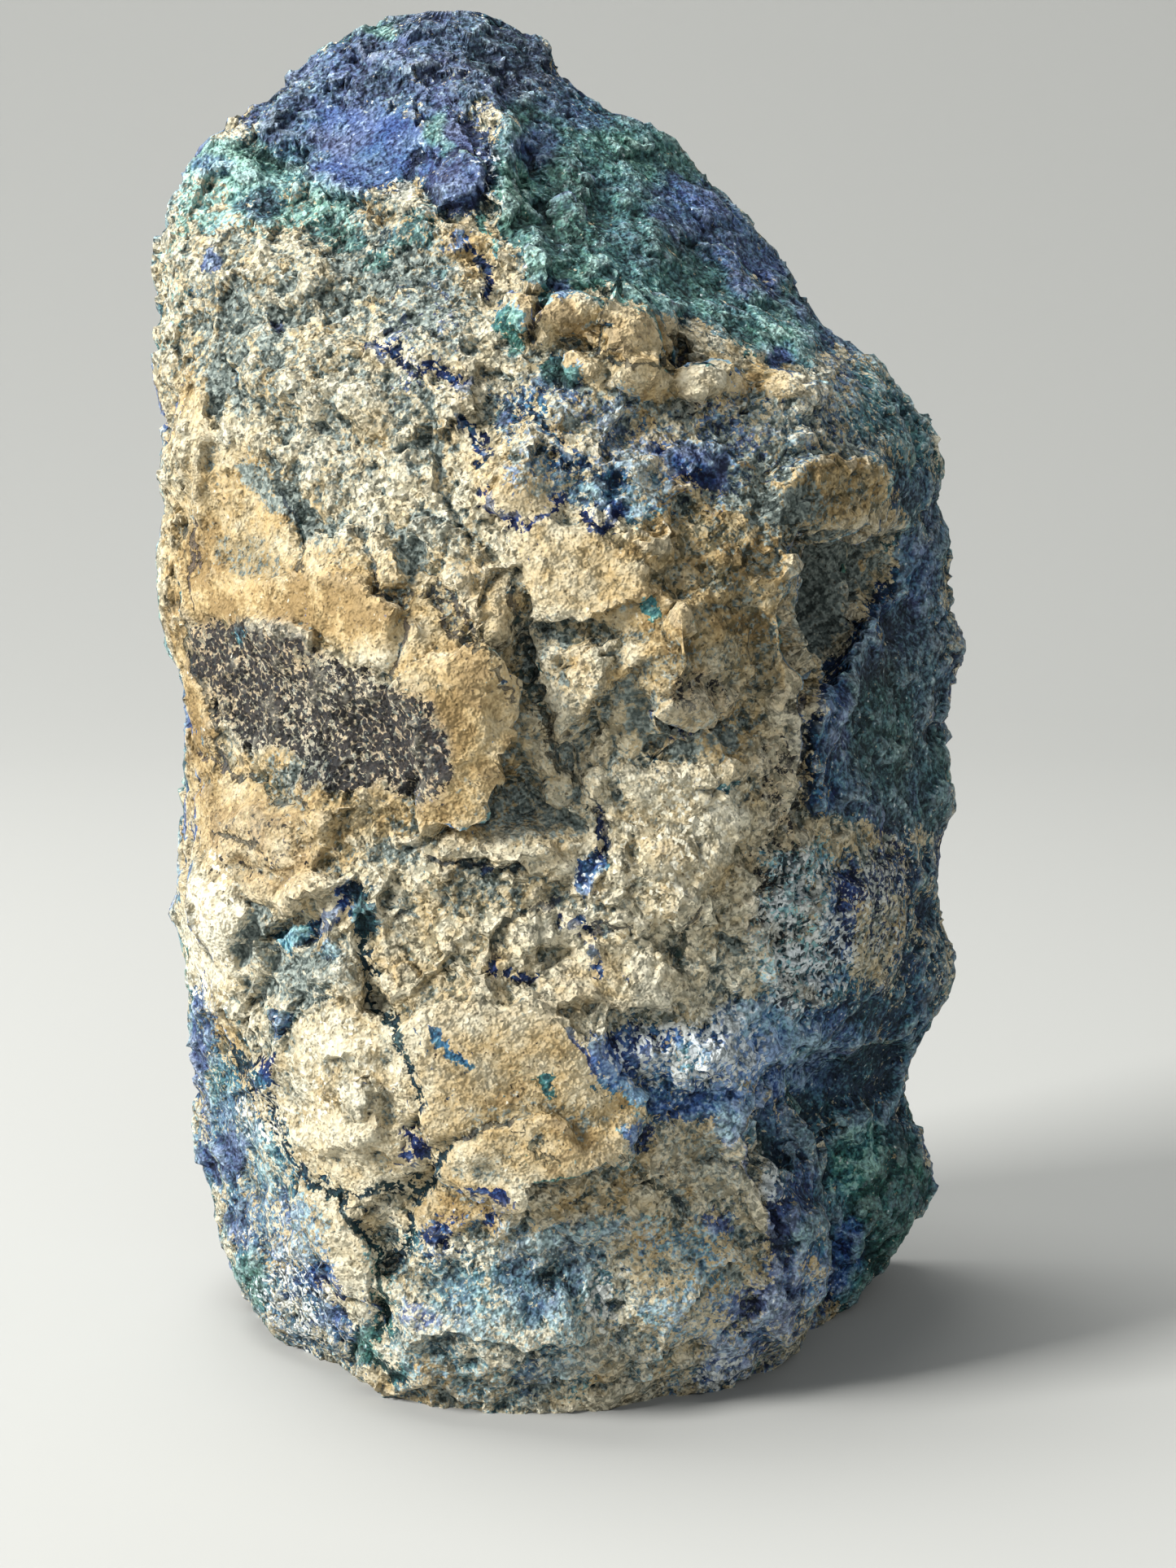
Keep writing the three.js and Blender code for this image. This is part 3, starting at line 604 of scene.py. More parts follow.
# Cracks and channels: (half width in px, depth in mm, line).
CRACKS = [
    (6, 1.1, [(620, 715), (640, 767), (647, 800), (660, 847), (673, 893), (687, 933), (713, 967),
     (747, 1007), (747, 1056)]),
    (4, 1.3, [(540, 710), (575, 760), (598, 810), (618, 842), (640, 862)]),
    (4, 1.2, [(527, 722), (555, 765), (584, 812)]), (4, 1.2, [(462, 725), (482, 731), (505, 733)]),
    (5, 1.5, [(440, 640), (456, 700), (463, 726)]),
    (4, 1.0, [(220, 765), (240, 820), (262, 880), (285, 950)]),
    (4, 1.1, [(235, 920), (280, 950), (320, 960), (355, 976), (380, 996)]),
    (4, 1.0, [(478, 842), (484, 818), (490, 790), (495, 757)]),
    (7, 1.6, [(500, 222), (505, 200), (511, 184)]), (8, 1.4, [(294, 166), (330, 192), (388, 228)]),
    (4, 1.2, [(455, 1100), (446, 1146), (449, 1215), (459, 1236), (483, 1260), (490, 1284), (507, 1311),
     (514, 1339), (519, 1367)]),
    (4, 1.3, [(524, 1050), (560, 1060), (593, 1066), (641, 1064)]),
    (4, 1.6, [(743, 988), (742, 1020), (745, 1052)]), (4, 1.1, [(715, 1160), (736, 1143), (781, 1139)]),
    (5, 1.2, [(263, 1019), (285, 1026), (311, 1043)]),
    (4, 0.7, [(286, 1284), (293, 1319), (327, 1350), (352, 1402), (372, 1429), (407, 1474), (441, 1515),
     (469, 1546)]),
    (4, 1.6, [(690, 424), (736, 424), (742, 380), (760, 366)]),
    (4, 1.6, [(740, 440), (776, 452), (826, 448), (840, 420)]),
    (4, 1.4, [(662, 366), (652, 392), (650, 420)]),
    (4, 1.1, [(407, 1474), (450, 1462), (493, 1453), (531, 1450), (544, 1422), (561, 1405), (600, 1388),
     (644, 1367)]),
    (3, 0.3, [(469, 1546), (465, 1577), (469, 1612), (462, 1663), (493, 1701)]),
    (4, 1.3, [(531, 1450), (510, 1470), (503, 1491), (506, 1519), (496, 1543), (472, 1560)]),
    (3, 0.7, [(647, 1400), (662, 1420), (677, 1440)]), (3, 0.7, [(655, 1392), (672, 1414), (690, 1432)]),
    (4, 0.9, [(760, 1420), (800, 1450), (830, 1470), (850, 1500)]),
    (7, 1.4, [(862, 1110), (845, 1150), (838, 1185)]),
    (5, 1.0, [(690, 1100), (650, 1120), (610, 1150), (600, 1190)]),
    (4, 0.8, [(232, 640), (240, 700), (236, 745)]), (4, 0.8, [(345, 600), (362, 655), (368, 705)]),
    (6, 1.4, [(985, 850), (985, 900), (992, 960), (1000, 1020)]),
]

# Raised lines: (half width in px, height in mm, line).
RIDGES = [
    (11, 1.2, [(1135, 665), (1100, 720), (1062, 775), (1020, 835), (1000, 905), (1010, 1005)]),
    (8, 1.0, [(790, 925), (850, 938), (905, 952)]),
    (9, 1.2, [(1046, 1505), (1042, 1535), (1030, 1562), (1015, 1590)]),
    (9, 1.2, [(1063, 1398), (1048, 1430), (1029, 1463)]),
    (8, 1.0, [(345, 1110), (380, 1096), (430, 1084)]),
    (10, 1.2, [(925, 1300), (968, 1290), (1012, 1274)]),
    (12, 1.2, [(590, 81), (627, 162), (659, 250), (665, 350)]),
    (10, 1.2, [(815, 735), (838, 745), (822, 800), (800, 860)]),
]

# Angular crumbs and beads of rock: (pixel, half size in px, turn, height in mm).
NUGGETS = [
    ((781, 412), (42, 42), 10, 2.7), ((790, 470), (35, 25), 0, 2.0), ((706, 394), (35, 25), 0, 2.4),
    ((643, 384), (17, 19), 20, 2.0), ((668, 409), (15, 21), 20, 1.8), ((715, 451), (20, 17), 0, 1.7),
    ((627, 366), (11, 9), 0, 1.0), ((862, 466), (34, 25), 10, 1.9), ((905, 468), (18, 16), 0, 1.2),
    ((960, 474), (24, 14), 0, 1.2), ((996, 490), (20, 17), 12, 1.3), ((621, 250), (19, 28), 0, 1.4),
    ((609, 303), (14, 16), 0, 1.5), ((656, 338), (16, 23), 0, 1.3), ((648, 600), (46, 42), 0, 1.0),
    ((734, 616), (36, 24), 0, 0.9), ((390, 345), (26, 20), 30, 0.9), ((330, 470), (34, 24), 0, 0.9),
    ((450, 500), (30, 26), 0, 0.8), ((520, 430), (28, 22), 10, 0.9), ((560, 500), (30, 24), 0, 0.8),
    ((320, 1035), (50, 36), 0, 0.8), ((385, 1005), (30, 26), 0, 0.8), ((275, 1150), (30, 70), 0, 0.8),
    ((1085, 1480), (42, 60), 0, 1.2), ((880, 1100), (50, 60), 0, 0.8), ((820, 1210), (50, 34), 0, 0.8),
    ((725, 1081), (15, 28), 0, 0.8), ((893, 1670), (30, 30), 0, 0.9), ((480, 60), (50, 30), 0, 0.8),
    ((590, 95), (34, 26), 0, 0.8), ((690, 700), (40, 30), 0, 0.6), ((850, 560), (36, 24), 0, 0.8),
    ((1000, 545), (30, 20), 0, 0.8), ((780, 560), (34, 24), 20, 0.7), ((880, 1010), (40, 30), 0, 0.8),
    ((820, 1050), (36, 30), 0, 0.8), ((760, 1130), (34, 26), 0, 0.7), ((430, 1580), (30, 34), 0, 0.8),
]

# Pits and dents: (pixel, half size in px, turn, depth in mm).
PITS = [
    ((834, 425), (13, 14), 0, 3.0), ((306, 389), (17, 20), -20, 0.6), ((410, 379), (20, 20), 0, 0.5),
    ((345, 352), (14, 10), 0, 1.0), ((521, 536), (6, 6), 0, 1.4), ((394, 530), (14, 7), -20, 1.2),
    ((312, 1153), (17, 28), -10, 2.0), ((380, 1156), (9, 9), 0, 1.8), ((404, 1176), (13, 11), 0, 1.2),
    ((350, 1135), (12, 12), 0, 1.2), ((434, 1096), (18, 11), 0, 1.4), ((449, 1660), (20, 22), 0, 0.5),
    ((487, 1694), (13, 9), 0, 0.8), ((690, 950), (40, 46), -20, 0.8), ((988, 950), (12, 60), 0, 1.4),
    ((955, 1150), (12, 20), 0, 0.9), ((985, 1095), (10, 16), 0, 0.9), ((1000, 1420), (36, 50), 10, 1.4),
    ((297, 1455), (18, 36), 0, 0.9), ((650, 230), (16, 50), 10, 1.4), ((740, 250), (20, 34), 0, 1.0),
    ((760, 330), (20, 16), 0, 0.9), ((620, 1160), (26, 18), 0, 0.8), ((690, 1180), (30, 18), 0, 0.8),
    ((520, 1120), (26, 22), 0, 0.8), ((470, 1360), (16, 26), 0, 0.9), ((720, 520), (24, 14), 0, 0.9),
]

# Skin that is worn or grown smooth: (pixel, half size in px, turn).
SMOOTH_SKIN = [
    ((240, 800), (26, 60), 0), ((240, 900), (14, 60), 0), ((781, 412), (44, 44), 10),
    ((790, 470), (37, 27), 0), ((706, 394), (37, 27), 0), ((643, 384), (19, 21), 20),
    ((668, 409), (17, 23), 20), ((715, 451), (22, 19), 0), ((862, 466), (36, 27), 10),
    ((905, 468), (20, 18), 0), ((960, 474), (26, 16), 0), ((648, 600), (40, 36), 0),
]

# Skin of small even grains instead of broken rock.
GRAINY_SKIN = [
    [(400, 20), (560, -10), (660, 30), (800, 120), (930, 250), (1040, 430), (960, 450), (850, 400),
     (760, 360), (690, 330), (640, 240), (600, 110), (480, 110)],
    [(1100, 560), (1190, 590), (1190, 1290), (1110, 1280), (1060, 1010), (1010, 1005), (1000, 905),
     (1052, 790), (1108, 700)],
    [(1040, 1370), (1160, 1380), (1160, 1560), (1040, 1640), (1000, 1600), (1020, 1460)],
]

# Layers of chips in broken rock and in grown crust: (height in mm, size in mm, seed).
BROKEN_CHIPS = ((1.1, 8.0, 1.7), (0.7, 4.2, 5.1), (0.35, 2.4, 9.3))
GROWN_CHIPS = ((0.95, 6.0, 1.7), (0.45, 2.6, 9.3))

# What the whole front is sunk by, in mm, so that features stand out from it inside the box.
SUNK_MM = 0.5
# The pixels that a break's lean is counted over.
LEAN_PX = 100.0
# Cracks are carved no thinner than this half width, and to this share of their depth. The shader
# draws them finer.
FINEST_CRACK_PX, CRACK_SHARE = 7, 0.55
# How soft the edges of spots are, as a share of their radius.
SMOOTH_SOFT, PIT_SOFT, WARM_SOFT, CRUST_SOFT, MANGANESE_SOFT, CLOUD_SOFT = 0.5, 0.9, 0.9, 0.7, 0.8, 1.0


def carve(stone):
    """Pushes the skin out and in by the named features and by the noise of broken rock."""
    normals = stone.normals()
    view = Canvas(stone.p, normals, CARVE_WOBBLE)
    rough = np.ones(view.count)
    for lift, right, down, flat, roughness, polygon in BREAKS:
        share = view.area(polygon, BREAK_EDGE)
        lean = (view.uv - np.mean(polygon, axis=0)) / LEAN_PX
        gap = stone.gap_to_plane(share > 0.5, normals)
        rise = flat * gap + lift + right * lean[:, 0] + down * lean[:, 1]
        stone.push(normals, share * rise * view.facing)
        worn = view.area(polygon, WORN_EDGE) * view.facing
        rough = rough * (1 - worn) + roughness * worn
    for at, size, turn in SMOOTH_SKIN:
        rough *= 1 - 0.6 * view.spot(at, size, turn, SMOOTH_SOFT) * view.facing
    rise = np.full(view.count, -SUNK_MM)
    for height, reach, line in LEDGES:
        rise += height * view.ledge(line, reach)
    for at, size, turn, height in NUGGETS:
        rise += height * view.nugget(at, size, turn)
    for width, height, line in RIDGES:
        rise += height * view.line(line, width)
    for at, size, turn, depth in PITS:
        rise -= depth * view.spot(at, size, turn, PIT_SOFT)
    stone.push(normals, rise * view.facing)

    normals = stone.normals()
    p = stone.p
    grainy = np.zeros(view.count)
    for polygon in GRAINY_SKIN:
        grainy = np.maximum(grainy, view.area(polygon, GRAINY_EDGE))
    bent = p + 0.8 * drifts(p, 3.0, 2.0, 12.0, 22.0)
    broken = sum(height * chips(bent, size, seed) for height, size, seed in BROKEN_CHIPS)
    broken -= 0.6 * scars(bent, 3.4, 3.3)
    broken *= 0.1 + 0.9 * rough
    grown = sum(height * chips(bent, size, seed) for height, size, seed in GROWN_CHIPS)
    grown += 0.4 * fbm(p, 2.2, 2, 0.6, seed=91.0)
    streak = np.stack([0.2 * (p[:, 0] + 1.7 * p[:, 2]), 0.85 * p[:, 0] - 0.5 * p[:, 2], p[:, 1]], 1)
    low_down = smooth((75 - p[:, 2]) / 30) * rough
    rise = broken * (1 - grainy) + grown * grainy + 0.45 * fbm(streak, 2.2, 2, seed=6.0) * low_down
    for width, depth, line in CRACKS:
        cut = view.line(line, max(width, FINEST_CRACK_PX))
        rise -= CRACK_SHARE * depth * cut * view.facing
    stone.push(normals, rise)
    stone.fit()
    return rough


rough = carve(stone)

# ---- Painted fields ----

# crust: how much copper mineral covers the rock; hue: 0 azurite blue, 0.5 teal, 1 malachite
# green; pale: how light that mineral is; warm: ochre, against cream; grey: blue-grey matrix;
# manganese: black specks; spark: white and cream crystals among the crust.

# Zones of crust: (line of pixels round the zone, crust, hue, pale, share of grey).
CRUST_ZONES = [
    ([(620, 105), (700, 92), (800, 130), (905, 225), (955, 300), (1035, 420), (1010, 450), (930, 440),
     (850, 400), (760, 365), (690, 345), (640, 300), (600, 215)], 0.95, 0.74, 0.32, 0.35),
    ([(285, 165), (350, 92), (400, 50), (470, 10), (560, -5), (630, 10), (665, 45), (705, 105),
     (620, 125), (560, 138), (480, 125), (390, 138), (330, 190)], 0.86, 0.16, 0.34, 0.55),
    ([(205, 215), (235, 170), (300, 160), (390, 205), (440, 232), (440, 300), (370, 285), (290, 285),
     (235, 300), (212, 350)], 0.6, 0.8, 0.95, 0.4),
    ([(195, 290), (240, 275), (235, 420), (215, 470), (190, 430)], 0.3, 0.8, 0.9, 0.5),
    ([(600, 465), (740, 470), (850, 498), (1000, 470), (1030, 425), (1125, 470), (1150, 560), (1010, 570),
     (905, 620), (780, 645), (700, 630), (612, 600)], 0.46, 0.3, 0.5, 0.62),
    ([(1040, 440), (1110, 455), (1155, 540), (1165, 620), (1100, 640), (1090, 560), (1050, 520)],
     0.75, 0.66, 0.34, 0.3),
    ([(1100, 560), (1165, 590), (1185, 860), (1175, 1010), (1120, 1025), (1000, 1010), (992, 905),
     (1052, 770), (1108, 690)], 0.86, 0.42, 0.28, 0.55),
    ([(930, 1050), (1030, 1030), (1062, 1130), (1045, 1250), (940, 1255), (915, 1150)],
     0.5, 0.46, 0.95, 0.2),
    ([(1105, 1020), (1180, 1030), (1180, 1260), (1110, 1280), (1090, 1180)], 0.7, 0.4, 0.2, 0.3),
    ([(725, 1262), (850, 1250), (960, 1235), (1030, 1250), (1010, 1345), (900, 1375), (790, 1380),
     (735, 1340)], 0.72, 0.08, 0.72, 0.05),
    ([(960, 1230), (1130, 1200), (1150, 1290), (1110, 1400), (1060, 1560), (985, 1560), (940, 1440),
     (920, 1370), (985, 1330)], 0.86, 0.42, 0.22, 0.25),
    ([(1035, 1390), (1115, 1395), (1150, 1450), (1110, 1560), (1050, 1625), (1020, 1600), (1040, 1480)],
     0.92, 0.88, 0.1, 0.1),
    ([(220, 1215), (252, 1225), (290, 1320), (350, 1410), (405, 1500), (415, 1600), (450, 1700),
     (380, 1670), (305, 1640), (258, 1450), (226, 1280)], 0.62, 0.32, 0.5, 0.45),
    ([(440, 1520), (560, 1490), (700, 1500), (760, 1470), (770, 1640), (700, 1740), (600, 1745),
     (490, 1715), (450, 1620)], 0.4, 0.52, 0.6, 0.6),
    ([(760, 1500), (900, 1480), (960, 1560), (975, 1690), (860, 1715), (770, 1725)],
     0.36, 0.4, 0.66, 0.5),
    ([(870, 1600), (960, 1530), (1020, 1560), (1010, 1640), (930, 1700), (860, 1715)],
     0.55, 0.1, 0.5, 0.5),
]

# Patches of mineral inside or outside those zones: (pixel, half size in px, turn, crust, hue, pale).
CRUST_SPOTS = [
    ((446, 178), (104, 56), 4, 1.0, 0.05, 0.42), ((563, 205), (44, 60), 0, 0.97, 0.02, 0.12),
    ((575, 225), (20, 26), 0, 1.0, 0.0, 0.3), ((536, 160), (16, 24), 10, 0.9, 0.75, 0.5),
    ((505, 205), (9, 22), -10, 1.0, 0.2, 0.0), ((630, 75), (50, 44), 0, 0.95, 0.25, 0.02),
    ((455, 32), (30, 10), -10, 0.9, 0.8, 0.7), ((380, 100), (50, 24), -30, 0.9, 0.1, 0.5),
    ((655, 184), (28, 30), 0, 0.95, 0.12, 0.3), ((868, 268), (78, 44), -35, 0.95, 0.12, 0.32),
    ((930, 330), (40, 40), -40, 0.9, 0.14, 0.28), ((1000, 395), (34, 22), -50, 0.9, 0.16, 0.25),
    ((700, 130), (50, 26), -10, 0.9, 0.3, 0.3), ((760, 190), (54, 30), -20, 0.95, 0.85, 0.5),
    ((830, 190), (40, 20), -30, 0.9, 0.8, 0.4), ((700, 260), (30, 60), 10, 0.95, 0.9, 0.12),
    ((800, 350), (90, 26), -20, 0.95, 0.82, 0.45), ((960, 400), (50, 24), -30, 0.95, 0.8, 0.6),
    ((632, 250), (22, 54), 0, 0.9, 0.95, 0.6), ((655, 300), (18, 46), 0, 0.9, 0.92, 0.5),
    ((598, 290), (8, 26), 20, 0.7, 0.95, 0.5), ((690, 330), (40, 22), 0, 0.9, 0.88, 0.55),
    ((625, 400), (14, 34), 0, 0.8, 0.9, 0.4), ((690, 460), (26, 16), 0, 0.9, 0.9, 0.3),
    ((520, 345), (44, 14), 40, 0.6, 0.9, 0.5), ((515, 285), (44, 26), 10, 0.6, 0.7, 0.4),
    ((520, 420), (44, 80), 0, 0.34, 0.16, 0.34), ((470, 320), (40, 16), 30, 0.5, 0.85, 0.5),
    ((410, 290), (40, 16), -10, 0.75, 0.9, 0.6), ((300, 205), (70, 26), -10, 0.9, 0.8, 0.85),
    ((262, 205), (20, 12), 0, 0.9, 0.3, 0.6), ((372, 190), (36, 14), -10, 0.9, 0.25, 0.7),
    ((320, 250), (30, 22), 0, 0.8, 0.5, 0.3), ((263, 327), (12, 14), 0, 0.9, 0.0, 0.5),
    ((338, 403), (10, 9), 0, 0.7, 0.0, 0.55), ((688, 354), (13, 13), 0, 1.0, 0.05, 0.6),
    ((668, 366), (10, 12), 0, 0.9, 0.9, 0.6), ((956, 438), (19, 15), 0, 1.0, 0.02, 0.4),
    ((878, 580), (17, 23), 0, 1.0, 0.02, 0.34), ((845, 560), (22, 18), 0, 0.9, 0.06, 0.4),
    ((619, 514), (14, 8), 0, 1.0, 0.02, 0.4), ((560, 300), (20, 12), 20, 0.7, 0.1, 0.4),
    ((746, 600), (40, 18), 10, 0.7, 0.4, 0.75), ((770, 625), (30, 18), 0, 0.7, 0.35, 0.7),
    ((801, 746), (14, 13), 0, 0.8, 0.7, 0.62), ((893, 965), (12, 10), 0, 0.7, 0.7, 0.6),
    ((297, 779), (10, 10), 0, 0.95, 0.55, 0.5), ((366, 1150), (24, 18), 0, 0.95, 0.5, 0.85),
    ((410, 1165), (16, 18), 0, 0.9, 0.48, 0.8), ((380, 1156), (8, 8), 0, 1.0, 0.9, 0.0),
    ((434, 1096), (22, 13), 0, 0.95, 0.62, 0.08), ((448, 1125), (16, 30), 0, 0.9, 0.6, 0.1),
    ((345, 1260), (22, 16), 30, 0.8, 0.3, 0.3), ((600, 1073), (10, 8), 0, 1.0, 0.02, 0.5),
    ((725, 1078), (17, 30), 0, 0.97, 0.02, 0.36), ((735, 1056), (10, 14), 0, 1.0, 0.0, 0.6),
    ((1015, 1200), (28, 15), -10, 1.0, 0.2, 0.75), ((1030, 1150), (20, 30), 0, 0.85, 0.2, 0.45),
    ((985, 1180), (30, 24), 0, 0.8, 0.5, 0.9), ((965, 1090), (26, 50), 10, 0.7, 0.52, 0.95),
    ((1040, 1090), (16, 50), 0, 0.7, 0.1, 0.3), ((968, 1296), (66, 40), -20, 1.0, 0.12, 1.0),
    ((930, 1245), (50, 26), -10, 0.9, 0.2, 0.8), ((880, 1350), (80, 24), -8, 0.85, 0.06, 0.8),
    ((1020, 1260), (40, 20), -20, 0.95, 0.24, 0.5), ((900, 1385), (24, 24), 0, 0.9, 0.26, 0.62),
    ((770, 1290), (30, 26), 0, 0.8, 0.04, 0.42), ((672, 1330), (10, 16), 0, 0.85, 0.7, 0.4),
    ((845, 1300), (24, 22), 0, 0.7, 0.3, 0.8), ((780, 1400), (26, 20), 0, 0.5, 0.1, 0.3),
    ((238, 1275), (16, 66), 0, 0.92, 0.06, 0.42), ((262, 1330), (16, 24), 0, 0.6, 0.6, 0.6),
    ((276, 1420), (30, 30), 0, 0.97, 0.1, 0.34), ((330, 1430), (26, 36), 0, 0.5, 0.45, 0.7),
    ((305, 1575), (28, 36), 0, 0.95, 0.92, 0.36), ((290, 1500), (14, 34), 0, 0.8, 0.2, 0.3),
    ((376, 1575), (30, 9), 36, 0.9, 0.12, 0.4), ((400, 1620), (26, 10), 30, 0.8, 0.1, 0.5),
    ((676, 1560), (62, 54), 0, 0.75, 0.42, 0.46), ((660, 1600), (22, 30), 0, 0.8, 0.36, 0.42),
    ((560, 1560), (40, 24), 0, 0.5, 0.5, 0.5), ((449, 1652), (22, 30), 0, 0.92, 0.9, 0.22),
    ((500, 1690), (16, 10), 0, 0.8, 0.7, 0.2), ((520, 1620), (26, 14), 0, 0.7, 0.04, 0.3),
    ((740, 1600), (20, 60), 10, 0.6, 0.5, 0.65), ((652, 1690), (16, 30), 0, 0.6, 0.35, 0.5),
    ((1070, 1410), (18, 34), -25, 0.95, 0.84, 0.62), ((965, 1490), (20, 40), -10, 0.9, 0.04, 0.2),
    ((985, 1460), (16, 40), 0, 0.8, 0.2, 0.3), ((880, 1500), (18, 10), 0, 0.7, 0.04, 0.35),
    ((893, 1685), (26, 26), 0, 0.85, 0.02, 0.7), ((955, 1600), (30, 40), 0, 0.7, 0.06, 0.35),
    ((1122, 700), (24, 50), 0, 0.9, 0.14, 0.3), ((1030, 880), (16, 70), 0, 0.92, 0.14, 0.4),
    ((1080, 1110), (34, 76), 0, 0.45, 0.2, 0.3), ((1090, 900), (40, 80), 0, 0.9, 0.72, 0.2),
    ((1150, 960), (18, 60), 0, 0.9, 0.7, 0.3),
]

# Veins and streaks of mineral: (half width in px, line, crust, hue, pale).
VEINS = [
    (7, [(449, 420), (478, 436), (506, 455)], 0.9, 0.04, 0.42),
    (8, [(524, 444), (552, 466), (578, 478)], 0.95, 0.04, 0.4),
    (8, [(569, 503), (593, 569)], 0.8, 0.06, 0.45),
    (7, [(590, 603), (602, 628), (617, 641), (645, 650), (664, 640), (682, 622), (697, 612)],
     1.0, 0.0, 0.3),
    (6, [(718, 632), (728, 650), (746, 652), (754, 638), (750, 622)], 1.0, 0.02, 0.3),
    (9, [(640, 500), (680, 540), (720, 580), (760, 600)], 0.8, 0.3, 0.4),
    (8, [(800, 530), (830, 570), (870, 600)], 0.85, 0.1, 0.35),
    (10, [(373, 1143), (400, 1128), (430, 1110)], 1.0, 0.03, 0.6),
    (8, [(345, 1167), (355, 1145), (375, 1132)], 0.9, 0.5, 0.95),
    (6, [(455, 1105), (446, 1146), (449, 1215), (459, 1236), (483, 1260), (490, 1284), (507, 1311),
     (519, 1367)], 0.85, 0.62, 0.12),
    (5, [(743, 988), (742, 1020), (740, 1050)], 0.9, 0.05, 0.2),
    (9, [(290, 1290), (306, 1310), (323, 1328), (337, 1292)], 1.0, 0.0, 0.34),
    (9, [(528, 1262), (548, 1290), (576, 1312)], 0.9, 0.34, 0.6),
    (8, [(497, 1378), (515, 1400), (532, 1424)], 1.0, 0.0, 0.26),
    (7, [(494, 1410), (512, 1426)], 1.0, 0.0, 0.3),
    (8, [(584, 1464), (600, 1467), (613, 1472), (606, 1487), (588, 1502)], 1.0, 0.0, 0.26),
    (7, [(534, 1524), (536, 1514), (550, 1507), (562, 1514), (556, 1526), (540, 1532), (534, 1524)],
     1.0, 0.0, 0.3),
    (8, [(376, 1558), (398, 1574), (420, 1594)], 0.95, 0.12, 0.3),
    (7, [(407, 1474), (441, 1515), (469, 1546)], 0.8, 0.66, 0.14),
    (5, [(469, 1546), (465, 1577), (469, 1612), (462, 1663), (493, 1701)], 0.9, 0.84, 0.16),
    (6, [(531, 1450), (510, 1470), (503, 1491), (506, 1519), (496, 1543)], 0.9, 0.6, 0.3),
    (6, [(407, 1474), (450, 1462), (493, 1453), (531, 1450), (544, 1422), (561, 1405)], 0.7, 0.62, 0.16),
    (9, [(286, 1284), (293, 1319), (327, 1350), (352, 1402), (372, 1429), (407, 1474)], 0.7, 0.5, 0.45),
    (9, [(1046, 1505), (1042, 1535), (1030, 1562), (1012, 1592)], 1.0, 0.06, 0.62),
    (10, [(1063, 1398), (1048, 1430), (1029, 1463)], 0.95, 0.8, 0.7),
    (8, [(1127, 675), (1093, 720), (1058, 772), (1030, 813), (1013, 848), (999, 910), (1004, 1005)],
     0.7, 0.25, 0.25),
    (6, [(790, 925), (812, 935)], 0.4, 0.5, 0.5),
    (6, [(736, 1320), (720, 1290), (700, 1270)], 0.7, 0.04, 0.36),
    (6, [(600, 1180), (640, 1210), (660, 1200)], 0.7, 0.02, 0.4),
    (6, [(690, 1125), (720, 1150), (740, 1200)], 0.6, 0.05, 0.4),
    (7, [(560, 300), (590, 330), (600, 370)], 0.7, 0.1, 0.4),
]

# Ochre and cream ground: (pixel, half size in px, turn, warm).
WARM_SPOTS = [
    ((360, 745), (140, 66), 0, 1.12), ((300, 630), (80, 90), 0, 0.8), ((240, 800), (40, 170), 0, 1.1),
    ((560, 900), (90, 140), 0, 1.0), ((612, 745), (40, 56), 0, 0.85), ((300, 960), (110, 40), 0, 0.9),
    ((320, 1035), (96, 70), 0, 0.92), ((400, 1000), (50, 50), 0, 0.85), ((450, 990), (60, 36), 0, 0.85),
    ((715, 690), (100, 54), -5, 0.6), ((880, 740), (110, 150), 0, 0.95), ((1045, 600), (84, 60), 0, 0.8),
    ((920, 620), (110, 70), 0, 0.9), ((600, 1620), (200, 110), 0, 0.2),
    ((850, 1600), (110, 110), 0, 0.35), ((240, 520), (22, 80), 0, 0.6),
    ((620, 1320), (110, 100), 0, 0.78), ((500, 1190), (110, 60), 20, 0.5),
    ((610, 1230), (80, 50), 0, 0.6), ((680, 1400), (110, 40), 0, 0.85), ((570, 1490), (60, 40), 0, 0.85),
    ((720, 1200), (50, 50), 0, 0.7), ((540, 1700), (70, 34), 0, 0.8), ((850, 1560), (80, 60), 0, 0.6),
    ((335, 1540), (20, 24), 0, 0.95), ((783, 434), (54, 70), 0, 0.95), ((701, 394), (46, 34), 0, 0.95),
    ((890, 468), (90, 34), 0, 0.9), ((650, 390), (30, 34), 0, 0.95), ((715, 451), (24, 20), 0, 0.9),
    ((648, 600), (50, 44), 0, 0.7), ((611, 300), (18, 20), 0, 0.5), ((655, 338), (16, 26), 0, 0.65),
    ((868, 470), (40, 26), 0, 0.5), ((470, 260), (40, 10), -28, 1.0), ((538, 268), (18, 8), -10, 1.0),
    ((500, 98), (40, 16), 0, 0.7), ((455, 114), (26, 10), 0, 0.7), ((410, 1010), (30, 20), 0, 0.9),
    ((420, 1330), (90, 100), 0, 0.42), ((430, 1500), (40, 70), 0, 0.5), ((260, 1150), (40, 90), 0, 0.22),
    ((820, 1060), (120, 130), 0, 0.4), ((760, 1150), (90, 60), 0, 0.4),
]

